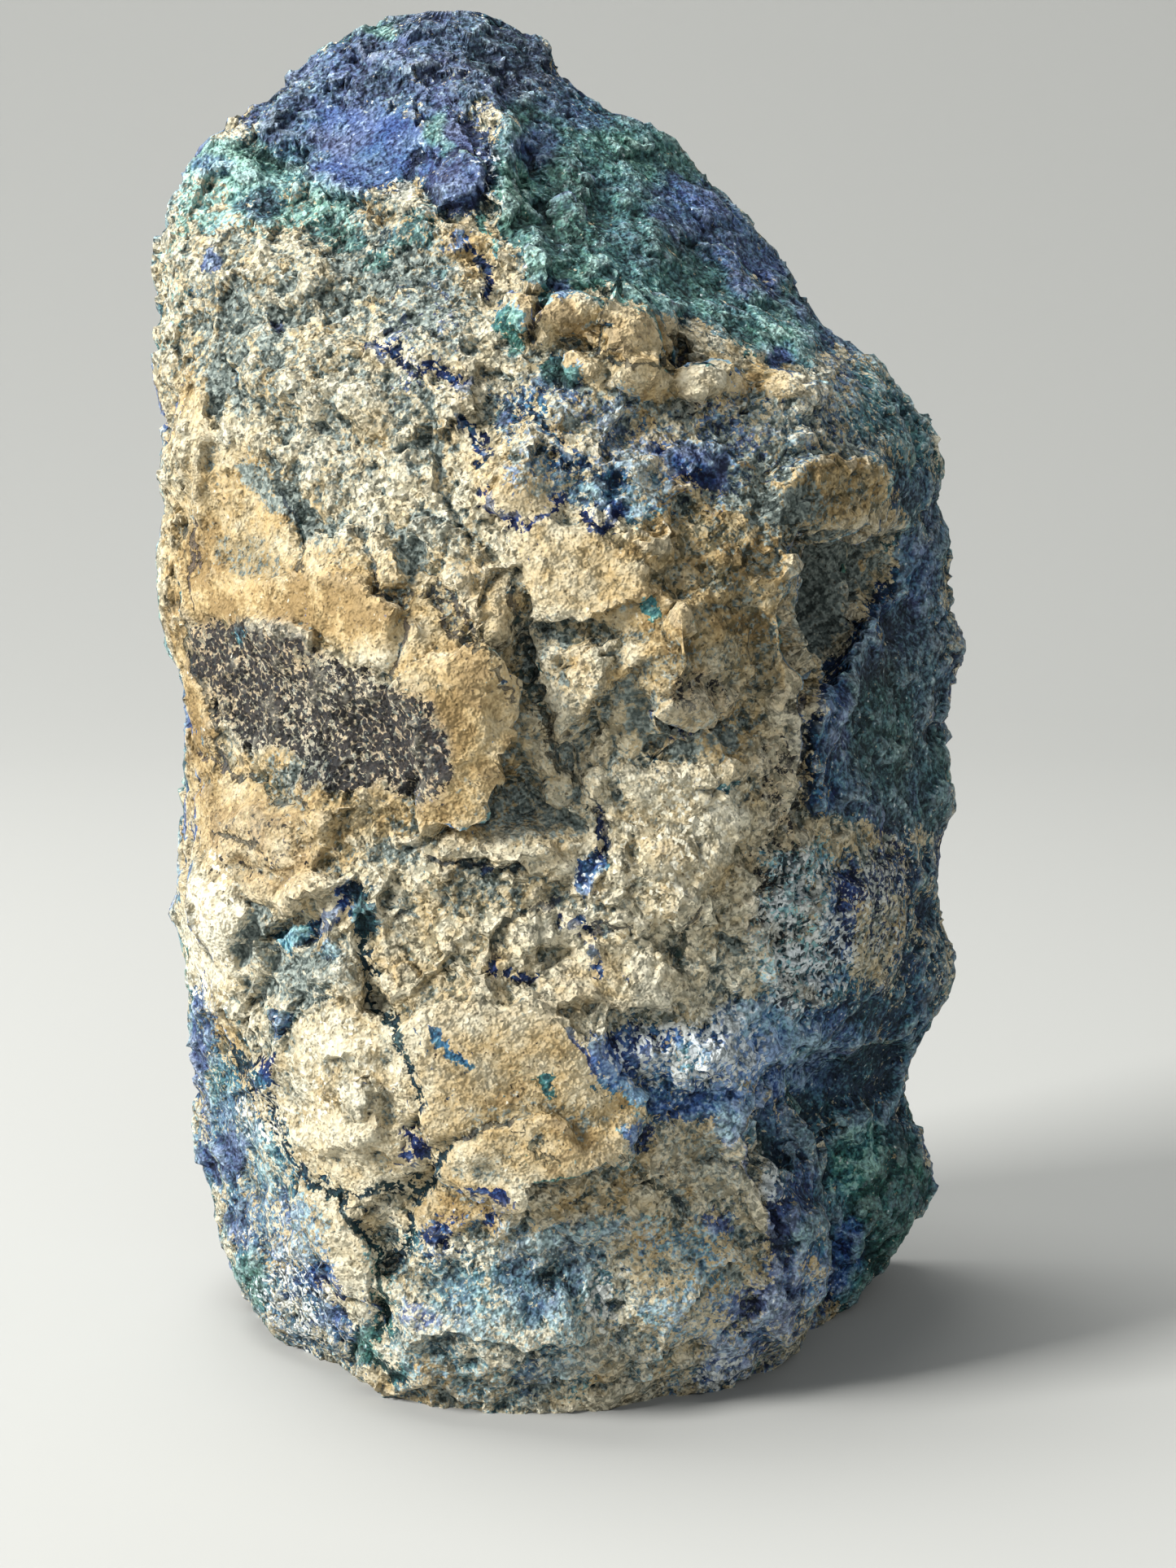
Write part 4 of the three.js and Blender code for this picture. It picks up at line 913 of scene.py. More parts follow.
# Blue-grey ground, some of it over hollows: (pixel, half size in px, turn, grey).
GREY_SPOTS = [
    ((350, 390), (150, 90), 0, 0.62), ((500, 400), (90, 120), 0, 0.6), ((397, 638), (60, 34), -10, 0.5),
    ((345, 560), (50, 30), 20, 0.6), ((520, 410), (50, 100), 0, 0.8), ((310, 460), (60, 60), 0, 0.75),
    ((343, 606), (24, 64), 38, 0.6), ((375, 940), (40, 26), 0, 0.6), ((375, 1180), (46, 60), 0, 0.8),
    ((620, 1610), (170, 90), 0, 0.6), ((306, 389), (22, 26), -20, 0.7), ((410, 379), (26, 24), 0, 0.7),
    ((320, 450), (60, 30), 0, 0.6), ((250, 420), (22, 30), 0, 0.7), ((430, 440), (40, 24), 0, 0.6),
    ((500, 560), (50, 24), 0, 0.6), ((530, 640), (40, 24), 30, 0.7), ((503, 676), (16, 30), -15, 0.9),
    ((842, 900), (62, 36), 0, 0.6), ((690, 930), (50, 90), -20, 0.45), ((660, 1000), (80, 30), 0, 0.6),
    ((780, 950), (40, 40), 0, 0.5), ((1026, 745), (60, 100), 18, 0.8), ((960, 620), (50, 24), 0, 0.7),
    ((440, 1170), (22, 60), 0, 0.75), ((312, 1153), (26, 32), -10, 0.9), ((490, 1050), (40, 18), 0, 0.7),
    ((430, 900), (70, 40), 0, 0.25), ((720, 1130), (40, 20), 0, 0.6), ((870, 1450), (60, 60), 0, 0.6),
    ((700, 1480), (80, 24), 0, 0.4), ((330, 1400), (40, 60), 30, 0.7), ((900, 1200), (40, 60), 0, 0.6),
]

# Manganese: (pixel, half size in px, turn, amount).
MANGANESE_SPOTS = [
    ((514, 928), (30, 50), -10, 1.3), ((478, 885), (50, 36), 20, 1.1), ((440, 950), (70, 22), 10, 1.0),
    ((300, 800), (60, 34), 12, 0.98), ((350, 870), (70, 44), 10, 0.92), ((865, 850), (44, 30), 0, 0.5),
    ((310, 1040), (80, 60), 0, 0.3), ((965, 1100), (50, 80), 0, 0.62), ((1000, 1180), (40, 50), 0, 0.6),
    ((975, 1220), (30, 40), 0, 0.7), ((960, 960), (30, 60), 0, 0.5), ((600, 1280), (90, 80), 0, 0.12),
    ((845, 500), (20, 12), 0, 0.4),
]
MANGANESE_PATCH = [
    (214, 750), (249, 756), (352, 773), (404, 801), (449, 822), (478, 850), (506, 878), (530, 894),
    (545, 960), (536, 975), (490, 976), (428, 956), (362, 932), (300, 905), (262, 880), (240, 820),
]

# White and cream crystals: (pixel, half size in px, turn, amount).
SPARK_SPOTS = [
    ((500, 236), (20, 8), -10, 0.9), ((600, 205), (14, 20), 0, 0.4), ((850, 1295), (100, 44), 0, 0.62),
    ((860, 1255), (60, 30), 0, 0.62), ((985, 1150), (60, 100), 0, 0.58),
    ((1080, 1110), (36, 80), 0, 0.25), ((893, 1690), (28, 26), 0, 0.6), ((951, 1456), (13, 22), 0, 0.95),
    ((262, 1150), (36, 84), 0, 0.6), ((400, 1320), (80, 90), 0, 0.2), ((745, 1600), (24, 50), 10, 0.5),
    ((240, 1200), (14, 30), 0, 0.5), ((360, 1600), (40, 60), 30, 0.4), ((600, 200), (20, 20), 0, 0.2),
    ((330, 1370), (40, 30), 0, 0.3), ((800, 1060), (90, 110), 0, 0.2), ((855, 1000), (60, 40), 0, 0.3),
]

# Spots of painted shade, and below 0 spots of painted light, added to the hollow field that the
# shader darkens by: (pixel, half size in px, turn, amount).
PAINTED_SHADE_AND_LIGHT = [
    ((1028, 745), (56, 104), 18, 0.5), ((920, 620), (90, 70), 0, 0.35), ((900, 760), (80, 110), 0, 0.4),
    ((1040, 610), (80, 60), 0, 0.4), ((800, 840), (44, 60), 0, 0.5), ((515, 450), (40, 110), 0, 0.2),
    ((842, 900), (64, 32), 0, 0.4), ((980, 1130), (60, 100), 0, 0.06), ((1080, 1110), (50, 90), 0, 0.35),
    ((1060, 1270), (60, 70), 0, 0.25), ((700, 870), (40, 90), -20, 0.2), ((430, 1330), (30, 60), 0, 0.15),
    ((375, 1180), (36, 60), 0, 0.3), ((375, 970), (50, 60), 0, 0.35), ((300, 430), (50, 80), 0, 0.3),
    ((1000, 905), (16, 90), 0, 0.3), ((345, 610), (20, 62), 38, 0.45), ((300, 680), (44, 26), 0, 0.4),
    ((450, 300), (70, 70), 0, 0.3), ((585, 965), (36, 40), 0, 0.4), ((590, 1100), (44, 34), 0, 0.4),
    ((330, 1310), (54, 50), 0, 0.35), ((655, 1385), (80, 36), 0, 0.4), ((580, 1450), (40, 34), 0, 0.4),
    ((725, 1520), (54, 36), 0, -0.4), ((655, 1525), (44, 30), 0, -0.3), ((670, 1170), (64, 40), 0, -0.3),
    ((375, 1520), (40, 40), 0, -0.2), ((860, 1440), (50, 40), 0, -0.25), ((945, 1250), (60, 30), 0, -0.3),
    ((790, 590), (40, 40), 0, -0.3), ((780, 540), (70, 36), 0, -0.3), ((715, 890), (24, 30), 0, -0.25),
    ((700, 1660), (40, 30), 0, -0.3), ((860, 1650), (34, 30), 0, -0.3), ((440, 60), (60, 30), 0, 0.1),
]


# Grey that is left under a warm spot, and manganese in its patch.
GREY_UNDER_WARM, IN_PATCH = 0.12, 0.72
# Shares of the half widths in the tables at which the shader draws cracks and veins.
CRACK_THICK, VEIN_THICK = 0.5, 0.62
# Rounds of averaging for the fine and the broad hollows.
FINE_ROUNDS, BROAD_ROUNDS = 3, 26
# How far each field drifts from what is painted, in the order of the noise's seeds.
FIRST_DRIFT_SEED = 44
DRIFT = {"crust": 0.6, "hue": 0.3, "pale": 0.3, "warm": 0.4, "grey": 0.4, "spark": 0.3}


def paint(stone, rough):
    """The painted fields of every vertex, as a dictionary of arrays."""
    normals = stone.normals()
    p = stone.p
    view = Canvas(p, normals, PAINT_WOBBLE)
    top = smooth((p[:, 2] - 120) / 50)
    right = smooth((normals[:, 0] + 0.1) / 0.5)
    side = 1 - view.facing

    # Skin that the photograph doesn't show: crust over the top, the sides and the back edge
    drift = fbm(p, 22.0, 3, seed=8.0)
    spread = fbm(p, 14.0, 3, seed=80.0)
    field = {
        "crust": np.clip(0.8 + 1.1 * drift + 0.2 * top, 0, 1) * side + 0.06 * view.facing,
        "hue": np.clip(0.42 + 1.5 * spread + 0.15 * right, 0, 1),
        "pale": np.clip(0.34 - 0.14 * right + 0.5 * fbm(p, 8.0, 2, seed=15.0), 0, 1),
        "warm": np.clip(0.42 + 0.6 * fbm(p, 16.0, 3, seed=30.0), 0, 1),
        "grey": np.clip(0.36 + 0.5 * fbm(p, 9.0, 3, seed=52.0), 0, 1),
        "manganese": np.clip(0.2 + 0.5 * fbm(p, 10.0, 2, seed=71.0), 0, 1) * side * 0.6,
        "spark": np.full(view.count, -0.1),
    }

    def lay(name, shape, amount):
        share = shape * view.facing
        field[name] = field[name] * (1 - share) + amount * share

    def lay_mineral(shape, crust, hue, pale):
        for name, amount in (("crust", crust), ("hue", hue), ("pale", pale)):
            lay(name, shape, amount)

    for at, size, turn, warm in WARM_SPOTS:
        shape = view.spot(at, size, turn, WARM_SOFT)
        lay("warm", shape, warm)
        lay("grey", shape, GREY_UNDER_WARM)
    for points, crust, hue, pale, grey in CRUST_ZONES:
        shape = view.area(points, ZONE_EDGE)
        lay_mineral(shape, crust, hue, pale)
        lay("grey", shape, grey)
    for at, size, turn, grey in GREY_SPOTS:
        lay("grey", view.spot(at, size, turn, CLOUD_SOFT), grey)
    for at, size, turn, crust, hue, pale in CRUST_SPOTS:
        lay_mineral(view.spot(at, size, turn, CRUST_SOFT), crust, hue, pale)
    for width, line, crust, hue, pale in VEINS:
        halo = np.minimum(1, 2.0 * view.line(line, 2 * width))
        lay("hue", halo, hue)
        lay("pale", halo, pale)
        lay("grey", halo, 0.0)
    cracks = [(CRACK_THICK * w, line) for w, _, line in CRACKS]
    field["crack"], field["crack_width"] = view.drawn(cracks)
    veins = [(VEIN_THICK * w * crust, line) for w, line, crust, _, _ in VEINS]
    field["vein"], field["vein_width"] = view.drawn(veins)
    lay("manganese", view.area(MANGANESE_PATCH, PATCH_EDGE), IN_PATCH)
    for at, size, turn, amount in MANGANESE_SPOTS:
        lay("manganese", view.spot(at, size, turn, MANGANESE_SOFT), amount)
    for at, size, turn, amount in SPARK_SPOTS:
        lay("spark", view.spot(at, size, turn, CLOUD_SOFT), amount)

    # Middle-sized drift, so that no painted edge runs true and no zone is even
    for seed, (name, amount) in enumerate(DRIFT.items(), FIRST_DRIFT_SEED):
        even = name in ("hue", "pale", "warm")
        unsure = 1.0 if even else 0.25 + 3.0 * field[name] * (1 - field[name])
        field[name] = field[name] + amount * fbm(p, 6.0, 3, 0.6, seed=float(seed)) * unsure

    # Hollow depth plus spots of painted shade and light, which the shader paints shade by
    fine = stone.hollow(normals, FINE_ROUNDS)
    broad = stone.hollow(normals, BROAD_ROUNDS)
    field["hollow"] = 0.5 + 0.9 * fine + 0.24 * broad
    for at, size, turn, amount in PAINTED_SHADE_AND_LIGHT:
        field["hollow"] += amount * view.spot(at, size, turn, CLOUD_SOFT) * view.facing
    field["hollow"] = np.clip(field["hollow"], 0, 1)
    field["rough"] = rough
    field["blotch"] = np.clip(0.5 + 0.7 * fbm(p, 2.6, 3, 0.6, seed=23.0), 0, 1)
    field["patch"] = np.clip(0.5 + 0.7 * fbm(p, 6.0, 3, 0.6, seed=33.0), 0, 1)
    return field


field = paint(stone, rough)

# The sawn planes' places among the materials, and the sharpest fold that is shaded smooth.
FOOT_MATERIAL, BACK_MATERIAL = 1, 2
CREASE_DEGREES = 38


def recut(bm, faces, material, out):
    """Fills a sawn plane again inside its carved rim, as flat triangles that face `out`."""
    bmesh.ops.delete(bm, geom=faces, context="FACES")
    rim = [e for e in bm.edges if e.is_boundary]
    cut = bmesh.ops.triangle_fill(bm, edges=rim, use_beauty=True, normal=out)["geom"]
    cut = [f for f in cut if isinstance(f, bmesh.types.BMFace)]
    for f in cut:
        f.material_index = material
        f.smooth = False
        if f.normal.dot(out) < 0:
            f.normal_flip()


def placed(name, data):
    """A new object in the scene."""
    obj = bpy.data.objects.new(name, data)
    bpy.context.scene.collection.objects.link(obj)
    return obj


def finished_object(stone, field):
    """The stone as a Blender object, its fields as vertex colours."""
    me = stone.mesh
    me.vertices.foreach_set("co", (stone.p * MM).ravel())
    for name, parts in (
        ("copper", ("crust", "hue", "pale", "spark")),
        ("ground", ("warm", "grey", "manganese", "rough")),
        ("relief", ("hollow", "blotch", "patch", "rough")),
        ("lines", ("crack", "crack_width", "vein", "vein_width")),
    ):
        layer = me.attributes.new(name, "FLOAT_COLOR", "POINT")
        layer.data.foreach_set("color", np.stack([field[k] for k in parts], 1).ravel())
    me.polygons.foreach_set("use_smooth", np.ones(len(me.polygons), dtype=bool))
    sharp = me.attributes.new("sharp_edge", "BOOLEAN", "EDGE")
    a, b = stone.edges.T
    sharp.data.foreach_set("value", (stone.rim[a] & stone.rim[b]) | stone.creases(CREASE_DEGREES))
    bm = bmesh.new()
    bm.from_mesh(me)
    bm.faces.ensure_lookup_table()
    foot = [bm.faces[i] for i in np.nonzero(stone.foot_faces)[0]]
    back = [bm.faces[i] for i in np.nonzero(stone.back_faces)[0]]
    recut(bm, foot, FOOT_MATERIAL, Vector((0, 0, -1)))
    recut(bm, back, BACK_MATERIAL, Vector((0, 1, 0)))
    bm.to_mesh(me)
    bm.free()
    me.update()
    return placed("azurite_malachite_stone", me)


slab = finished_object(stone, field)

# ---- Materials ----


class Nodes:
    """Short names for building a node material."""

    def __init__(self, name):
        self.mat = bpy.data.materials.new(name)
        self.mat.use_nodes = True
        self.tree = self.mat.node_tree
        self.tree.nodes.clear()
        self.shader = self.tree.nodes.new("ShaderNodeBsdfPrincipled")
        self.add("OutputMaterial", {0: self.shader.outputs[0]})
        self.mm = self.vector("SCALE", self.add("TexCoord", {})["Object"], scale=1.0 / MM)

    def put(self, value, socket):
        """Links an output to this input, or sets the input's value."""
        if isinstance(value, bpy.types.NodeSocket):
            self.tree.links.new(value, socket)
        else:
            socket.default_value = value

    def add(self, kind, inputs, **settings):
        """Makes a node with these settings and those of its inputs that aren't None, and gives
        its outputs."""
        node = self.tree.nodes.new("ShaderNode" + kind)
        for name, value in settings.items():
            setattr(node, name, value)
        for socket, value in inputs.items():
            if value is not None:
                self.put(value, node.inputs[socket])
        return node.outputs

    def turn(self):
        """Turns the coordinates, so that the noise's lattice doesn't lie along the stone's planes."""
        inputs = {"Vector": self.mm, "Rotation": LATTICE_TURN}
        self.mm = self.add("VectorRotate", inputs, rotation_type="EULER_XYZ")["Vector"]

    def vector(self, operation, a, b=None, scale=None, output="Vector"):
        inputs = {0: a, 1: b, "Scale": scale}
        return self.add("VectorMath", inputs, operation=operation)[output]

    def math(self, operation, a, b=None, c=None, clamp=False):
        return self.add("Math", {0: a, 1: b, 2: c}, operation=operation, use_clamp=clamp)[0]

    def plus(self, a, b, clamp=False):
        return self.math("ADD", a, b, clamp=clamp)

    def minus(self, a, b):
        return self.math("SUBTRACT", a, b)

    def times(self, a, b):
        return self.math("MULTIPLY", a, b)

    def madd(self, a, b, c, clamp=False):
        """a times b, plus c."""
        return self.math("MULTIPLY_ADD", a, b, c, clamp)

    def ramp(self, value, low, high, to_low=0.0, to_high=1.0, kind="SMOOTHSTEP"):
        """Step from one level to another as value goes from low to high."""
        inputs = dict(enumerate((value, low, high, to_low, to_high)))
        return self.add("MapRange", inputs, interpolation_type=kind)[0]

    def texture(self, kind, at, inputs, **settings):
        """A texture's outputs, at these coordinates or at the stone's own."""
        return self.add("Tex" + kind, {"Vector": at or self.mm, **inputs}, **settings)

    def noise(self, per_mm, detail, roughness, at=None, shift=0.0, distortion=0.0, output="Fac"):
        if shift:
            at = self.vector("ADD", at or self.mm, (shift, shift * 0.7, -shift))
        inputs = {"Scale": per_mm, "Detail": detail, "Roughness": roughness, "Distortion": distortion}
        return self.texture("Noise", at, inputs)[output]

    def wander(self, per_mm, amount, at=None):
        """Coordinates pushed about by noise."""
        push = self.noise(per_mm, 1.0, 0.5, at, output="Color")
        push = self.vector("SUBTRACT", push, (0.5, 0.5, 0.5))
        return self.vector("ADD", at or self.mm, self.vector("SCALE", push, scale=amount))

    def facets(self, size, at, tilt):
        """Flat tilted chips of this size, like the bump of a fresh break: their height in mm, the
        distance from the chip's centre (in chips) and the chip's own random colour."""
        cell = self.texture("Voronoi", at, {"Scale": 1.0 / size})
        off = self.vector("SUBTRACT", at, cell["Position"])
        lean = self.vector("SUBTRACT", cell["Color"], (0.5, 0.5, 0.5))
        height = self.times(self.vector("DOT_PRODUCT", off, lean, output="Value"), tilt)
        return height, cell["Distance"], cell["Color"]

    def cells(self, per_mm, at, feature):
        """The distance from the nearest centre or edge of irregular cells, in cells."""
        return self.texture("Voronoi", at, {"Scale": per_mm}, feature=feature)["Distance"]

    def split(self, colour):
        """A colour's red, green and blue."""
        return list(self.add("SeparateColor", {0: colour}))

    def mix(self, share, a, b, kind="MIX"):
        """One colour towards another."""
        return self.add("Mix", {0: share, 6: a, 7: b}, data_type="RGBA", blend_type=kind)[2]

    def blend(self, share, a, b):
        """One number towards another."""
        return self.add("Mix", {0: share, 2: a, 3: b})[0]

    def colours(self, value, stops):
        """A colour ramp: (position, colour) pairs, in order."""
        node = self.tree.nodes.new("ShaderNodeValToRGB")
        marks = node.color_ramp.elements
        marks[0].position, marks[0].color = stops[0]
        marks[1].position, marks[1].color = stops[-1]
        for at, colour in stops[1:-1]:
            marks.new(at).color = colour
        self.put(value, node.inputs[0])
        return node.outputs[0]

    def painted(self, name):
        """The four painted fields in one set of vertex colours."""
        layer = self.add("Attribute", {}, attribute_name=name)
        return [*self.split(layer["Color"]), layer["Alpha"]]

    def broken(self, amount, noise, soft):
        """A painted amount broken by noise into a crisp mask that covers about that share."""
        spread = self.ramp(noise, 0.28, 0.72, kind="LINEAR")
        total = self.madd(amount, 1.0 + 2 * soft, spread)
        return self.ramp(total, 1.0, 1.0 + 2 * soft)

    def stroke(self, off, width, wobble):
        """A thin drawn line from its distance and half width, roughened by a wobble in pixels."""
        edge = self.minus(self.plus(self.math("ABSOLUTE", off), wobble), width)
        return self.times(self.ramp(edge, 0.8, -0.8), self.ramp(width, 0.3, 0.9))

    def bump(self, height, distance):
        """Sets the shader's normal from a height, one unit of which is `distance` metres."""
        inputs = {"Strength": 1.0, "Distance": distance, "Height": height}
        self.put(self.add("Bump", inputs)[0], self.shader.inputs["Normal"])


def srgb(r, g, b):
    """A colour given as it looks, 0 to 255."""
    return (*[((c / 255 + 0.055) / 1.055) ** 2.4 if c > 10 else c / 3294.6 for c in (r, g, b)], 1.0)


# Colours of the stone in plain light
CREAM = srgb(216, 205, 175)
CREAM_DUST = srgb(230, 223, 198)
TAN = srgb(202, 185, 148)
OCHRE = srgb(192, 167, 120)
OCHRE_DEEP = srgb(158, 133, 90)
GREY_DARK = srgb(120, 132, 128)
GREY_TEAL = srgb(172, 183, 175)
MANGANESE = srgb(28, 30, 38)
PIT = srgb(84, 70, 48)
PIT_DARK = srgb(30, 36, 36)
PINK = srgb(204, 184, 156)
FROST = srgb(222, 232, 238)
# What deep shade leaves of a colour
IN_SHADE = (0.17, 0.2, 0.2, 1.0)
# Copper from dark to pale; the shader picks between them partly as painted highlight and shade
BLUE_DARK, TEAL_DARK, GREEN_DARK = srgb(28, 44, 96), srgb(34, 64, 82), srgb(42, 82, 74)
BLUE_MID, TEAL_MID, GREEN_MID = srgb(56, 92, 156), srgb(66, 124, 142), srgb(70, 130, 114)
BLUE_PALE, TEAL_PALE, GREEN_PALE = srgb(132, 164, 212), srgb(146, 198, 204), srgb(150, 204, 182)


def natural_skin():
    """Ochre and cream matrix under a broken crust of azurite and malachite."""
    s = Nodes("azurite_malachite_skin")
    crust, hue, pale, spark = s.painted("copper")
    warm, grey, manganese, rough = s.painted("ground")
    hollow, blotch, patch, _ = s.painted("relief")
    crack_off, crack_width, vein_off, vein_width = s.painted("lines")
    s.turn()
    near = s.wander(1.1, 0.7)
    fine = s.noise(1.5, 1.0, 0.6, shift=11.0)
    grit, drift, cling = s.split(s.noise(1.3, 2.0, 0.72, at=near, output="Color"))
    ripple = s.minus(fine, 0.5)

    # Relief in mm: broken chips in the rock, small tight grains where copper minerals have grown
    cover = s.broken(crust, cling, 0.08)
    plate, _, _ = s.facets(1.4, near, tilt=1.2)
    crumb, dots, lots = s.facets(0.59, near, tilt=1.4)
    chip = s.times(s.plus(plate, crumb), s.madd(rough, 0.6, 0.4))
    lot, lot_b, lot_c = s.split(lots)
    dome = s.madd(s.minus(0.5, dots), 0.3, s.times(chip, 0.6))
    height = s.madd(ripple, 0.6, s.blend(crust, chip, dome))
    crack = s.stroke(crack_off, crack_width, s.madd(ripple, 7.0, s.times(chip, 6.0)))
    vein = s.stroke(vein_off, vein_width, s.madd(ripple, 12.0, s.times(chip, 12.0)))
    s.bump(s.madd(crack, -0.5, height), MM)
    # Low parts of the bump, darkened below as painted shade
    sunk = s.times(s.ramp(height, 0.0, -0.3), s.madd(rough, 0.8, 0.2))
    cover = s.math("MAXIMUM", cover, vein)

    # Matrix: cream to tan to ochre, mottled, with dark pinholes
    heat = s.madd(s.minus(blotch, 0.5), 0.6, s.times(warm, 0.9))
    heat = s.madd(s.minus(patch, 0.5), 0.7, heat)
    heat = s.madd(s.minus(0.5, grit), 0.35, heat)
    heat = s.madd(ripple, -0.5, heat, clamp=True)
    rock = (CREAM_DUST, CREAM, TAN, OCHRE, OCHRE_DEEP)
    ground = s.colours(heat, list(zip((0.0, 0.3, 0.55, 0.85, 1.0), rock)))
    dull = s.mix(s.ramp(fine, 0.4, 0.62), GREY_DARK, GREY_TEAL)
    # More blue-grey in hollows and in the painted-shade spots
    grey_here = s.madd(s.ramp(hollow, 0.5, 0.95), 0.3, s.times(grey, 0.75))
    ground = s.mix(s.broken(grey_here, drift, 0.2), ground, dull)
    hole = s.times(s.ramp(dots, 0.36, 0.2), s.ramp(lot_b, 0.78, 0.82))
    ground = s.mix(s.times(hole, 0.8), ground, PIT)

    # Manganese specks, run together where they are dense, on a pinkish ground
    ground = s.mix(s.times(manganese, 0.7), ground, s.mix(s.ramp(drift, 0.42, 0.56), GREY_DARK, PINK))
    clumped = s.times(manganese, s.madd(blotch, 2.0, 0.1))
    speck = s.madd(s.ramp(grit, 0.3, 0.7, kind="LINEAR"), -0.85, s.madd(lot, -0.4, clumped))
    black = s.times(s.ramp(speck, -0.02, 0.06), s.ramp(dots, 0.8, 0.6))
    ground = s.mix(s.times(black, 0.94), ground, MANGANESE)

    # Copper minerals, by hue and by lightness, the lightness partly painted highlight and shade
    tone = s.times(s.minus(drift, 0.5), s.madd(rough, 0.6, 0.3))
    tone = s.plus(tone, hue, clamp=True)
    # Paleness, lighter on bump tops and darker in hollows as painted highlight and shade
    lift = s.madd(ripple, 1.6, pale)
    lift = s.madd(s.minus(grit, 0.5), 0.8, lift)
    lift = s.madd(s.minus(0.5, hollow), 0.6, lift)
    lift = s.madd(vein, -0.22, lift, clamp=True)
    dark = s.colours(tone, [(0.0, BLUE_DARK), (0.5, TEAL_DARK), (1.0, GREEN_DARK)])
    mid = s.colours(tone, [(0.0, BLUE_MID), (0.5, TEAL_MID), (1.0, GREEN_MID)])
    light = s.colours(tone, [(0.0, BLUE_PALE), (0.5, TEAL_PALE), (1.0, GREEN_PALE)])
    copper = s.mix(s.ramp(lift, 0.0, 0.5), dark, mid)
    copper = s.mix(s.ramp(lift, 0.5, 1.0), copper, light)
    dusty_copper = {"Color": copper, "Saturation": s.madd(grey, -0.5, 1.0)}
    skin = s.mix(cover, ground, s.add("HueSaturation", dusty_copper)[0])
    skin = s.mix(s.times(black, s.times(cover, 0.9)), skin, MANGANESE)

    # Pale crystals and cream crumbs among the crust, dust and painted highlight on the crests, and
    # painted shade in the gaps
    white = s.mix(crust, CREAM_DUST, FROST)
    glint = s.madd(ripple, 0.9, s.minus(spark, lot_c))
    skin = s.mix(s.ramp(glint, -0.02, 0.08), skin, white)
    crest_dust_and_highlight = s.times(s.ramp(hollow, 0.46, 0.2), s.times(rough, s.blend(crust, 0.4, 0.12)))
    skin = s.mix(crest_dust_and_highlight, skin, white)
    # Painted shade in hollows, in the painted-shade spots and in the bump's low parts
    shade = s.madd(s.ramp(hollow, 0.58, 1.0), 0.38, s.times(sunk, 0.62), clamp=True)
    skin = s.mix(shade, skin, s.mix(1.0, skin, IN_SHADE, kind="MULTIPLY"))
    skin = s.mix(s.times(crack, 0.65), skin, s.mix(0.6, dark, PIT_DARK))
    s.put(skin, s.shader.inputs["Base Color"])
    s.put(s.ramp(fine, 0.3, 0.7, 0.95, 0.72), s.shader.inputs["Roughness"])
    s.shader.inputs["Specular IOR Level"].default_value = 0.3
    return s.mat


def sawn_foot():
    """The sawn underside: flat, matt, the same minerals cut through."""
    s = Nodes("azurite_malachite_sawn")
    broad = s.noise(0.07, 5.0, 0.6, distortion=0.6)
    grit = s.noise(1.5, 5.0, 0.7)
    base = s.mix(s.ramp(grit, 0.35, 0.65), srgb(150, 134, 100), srgb(190, 178, 146))
    vein = s.colours(broad, [(0.0, BLUE_MID), (0.45, TEAL_MID), (0.55, GREEN_MID), (1.0, GREEN_DARK)])
    base = s.mix(s.ramp(s.noise(0.12, 5.0, 0.65, shift=9.0), 0.55, 0.6), base, vein)
    saw_marks = s.texture("Wave", s.mm, {"Scale": 0.5, "Distortion": 1.2})["Fac"]
    s.put(base, s.shader.inputs["Base Color"])
    s.shader.inputs["Roughness"].default_value = 0.8
    height = s.plus(s.times(saw_marks, 0.4), grit)
    s.bump(height, 0.18 * MM)
    return s.mat


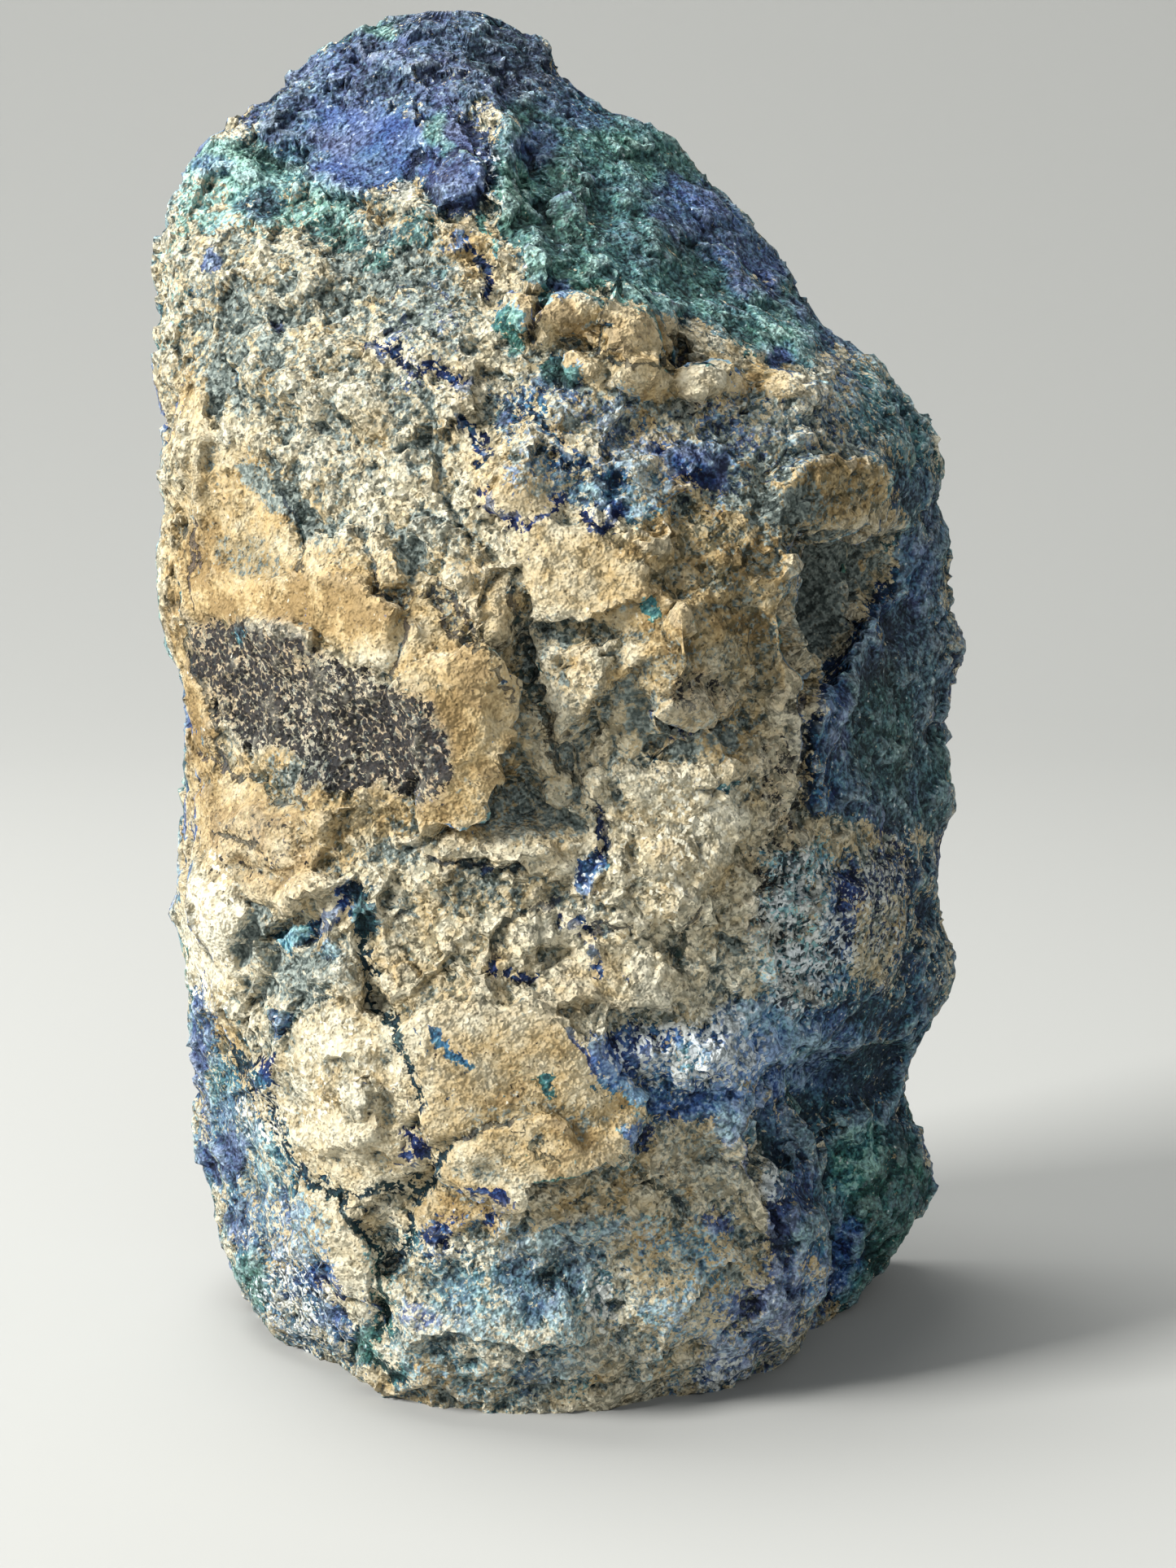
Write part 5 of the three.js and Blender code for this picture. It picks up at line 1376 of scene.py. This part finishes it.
def polished_back():
    """The polished cut: ringed malachite and azurite in ochre matrix, under a clear gloss."""
    s = Nodes("azurite_malachite_polished")
    far = s.wander(0.035, 26.0)
    bent = s.wander(0.12, 5.0, at=far)
    flat = s.vector("MULTIPLY", bent, (1.0, 0.0, 1.0))

    # Malachite grows outward from many centres, in rings of lighter and darker green
    rings = s.cells(0.045, flat, "SMOOTH_F1")
    wave = s.math("SINE", s.times(rings, 62.0))
    thin = s.math("SINE", s.times(rings, 190.0))
    band = s.plus(s.times(wave, 0.36), s.times(thin, 0.14))
    band = s.plus(band, s.times(s.noise(0.5, 4.0, 0.6, at=flat), 0.5))
    greens = (srgb(8, 46, 38), srgb(16, 84, 64), srgb(36, 128, 94), srgb(92, 178, 138))
    green = s.colours(band, list(zip((0.0, 0.3, 0.55, 0.8), greens)))

    # Azurite fills between, in radiating deep and bright blues
    spokes = s.noise(0.28, 6.0, 0.7, at=flat, shift=13.0, distortion=1.4)
    blues = (srgb(10, 22, 74), srgb(24, 54, 140), srgb(58, 104, 190), srgb(120, 160, 214))
    blue = s.colours(spokes, list(zip((0.3, 0.5, 0.62, 0.72), blues)))
    where_blue = s.noise(0.038, 4.0, 0.6, shift=31.0, distortion=0.9)
    stone = s.mix(s.ramp(where_blue, 0.5, 0.53), green, blue)
    seam = s.ramp(s.math("ABSOLUTE", s.minus(where_blue, 0.515)), 0.014, 0.004)
    stone = s.mix(s.times(seam, 0.8), stone, srgb(96, 176, 176))

    # Islands of ochre matrix, with dark veinlets
    island = s.noise(0.05, 5.0, 0.62, shift=57.0, distortion=0.7)
    grit = s.noise(0.9, 5.0, 0.7, shift=3.0)
    matrix = s.mix(s.ramp(grit, 0.35, 0.65), srgb(132, 98, 52), srgb(196, 168, 116))
    stone = s.mix(s.ramp(island, 0.565, 0.585), stone, matrix)
    vein = s.cells(0.09, bent, "DISTANCE_TO_EDGE")
    stone = s.mix(s.times(s.ramp(vein, 0.03, 0.008), 0.75), stone, srgb(26, 34, 40))
    s.put(stone, s.shader.inputs["Base Color"])
    s.put(s.ramp(grit, 0.3, 0.7, 0.1, 0.2), s.shader.inputs["Roughness"])
    s.shader.inputs["Coat Weight"].default_value = 0.6
    s.shader.inputs["Coat Roughness"].default_value = 0.04
    s.bump(grit, 0.03 * MM)
    return s.mat


for material in (natural_skin(), sawn_foot(), polished_back()):
    slab.data.materials.append(material)
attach(slab, "root")
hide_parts(NODE)

# ---- Floor, light and camera ----


def sweep():
    """A round pale floor that curves up into a low wall, so that no edge shows behind the stone."""
    flat, reach, rim, rings, sides = 0.7, 1.9, 0.4, 24, 96
    profile = [(0.0, 0.0), (flat, 0.0)]
    for k in range(1, rings + 1):
        a = math.pi / 2 * k / rings
        profile.append((flat + reach * math.sin(a), reach * (1 - math.cos(a))))
    profile.append((flat + reach, reach + rim))
    verts = [(0.0, 0.0, 0.0)]
    faces = []
    for r, z in profile[1:]:
        for j in range(sides):
            t = 2 * math.pi * j / sides
            verts.append((r * math.cos(t), r * math.sin(t), z))
    for j in range(sides):
        faces.append((0, 1 + j, 1 + (j + 1) % sides))
    for i in range(len(profile) - 2):
        low, high = 1 + i * sides, 1 + (i + 1) * sides
        for j in range(sides):
            k = (j + 1) % sides
            faces.append((low + j, high + j, high + k, low + k))
    me = bpy.data.meshes.new("floor")
    me.from_pydata(verts, [], faces)
    me.polygons.foreach_set("use_smooth", [True] * len(faces))
    obj = placed("floor", me)
    mat = bpy.data.materials.new("pale_floor")
    mat.use_nodes = True
    shader = mat.node_tree.nodes["Principled BSDF"]
    shader.inputs["Base Color"].default_value = srgb(184, 185, 182)
    shader.inputs["Roughness"].default_value = 0.8
    shader.inputs["Specular IOR Level"].default_value = 0.0
    obj.data.materials.append(mat)


def softbox(name, at, size, power, colour, towards=(0.0, 0.0, 0.09)):
    """A rectangular area light that faces a point."""
    data = bpy.data.lights.new(name, "AREA")
    data.shape = "RECTANGLE"
    data.size, data.size_y = size
    data.energy = power
    data.color = colour
    obj = placed(name, data)
    obj.location = at
    obj.rotation_euler = (Vector(towards) - Vector(at)).to_track_quat("-Z", "Y").to_euler()
    obj.visible_camera = False


sweep()
softbox("window_left", (-0.98, -0.42, 0.72), (0.32, 0.42), 25.0, (1.0, 0.985, 0.96))
softbox("fill_front", (0.25, -1.2, 0.7), (1.0, 0.8), 3.4, (0.93, 0.97, 1.0))
softbox("wall_wash", (-0.5, 0.3, 2.2), (1.2, 1.2), 42.0, (1.0, 0.99, 0.97), (0.0, 1.9, 0.2))

world = bpy.data.worlds.new("studio")
bpy.context.scene.world = world
world.use_nodes = True
backdrop = world.node_tree.nodes["Background"]
backdrop.inputs["Color"].default_value = (0.76, 0.8, 0.84, 1.0)
backdrop.inputs["Strength"].default_value = 0.34
bpy.context.scene.view_settings.view_transform = "Standard"
bpy.context.scene.cycles.max_bounces = 1
bpy.context.scene.cycles.use_light_tree = False

camera_data = bpy.data.cameras.new("photo_camera")
camera_data.lens = LENS_MM
camera_data.sensor_width = SENSOR_MM
camera = placed("photo_camera", camera_data)
camera.location = CAMERA_AT
camera.rotation_euler = Euler((math.radians(90) - PITCH, 0.0, 0.0))
bpy.context.scene.camera = camera
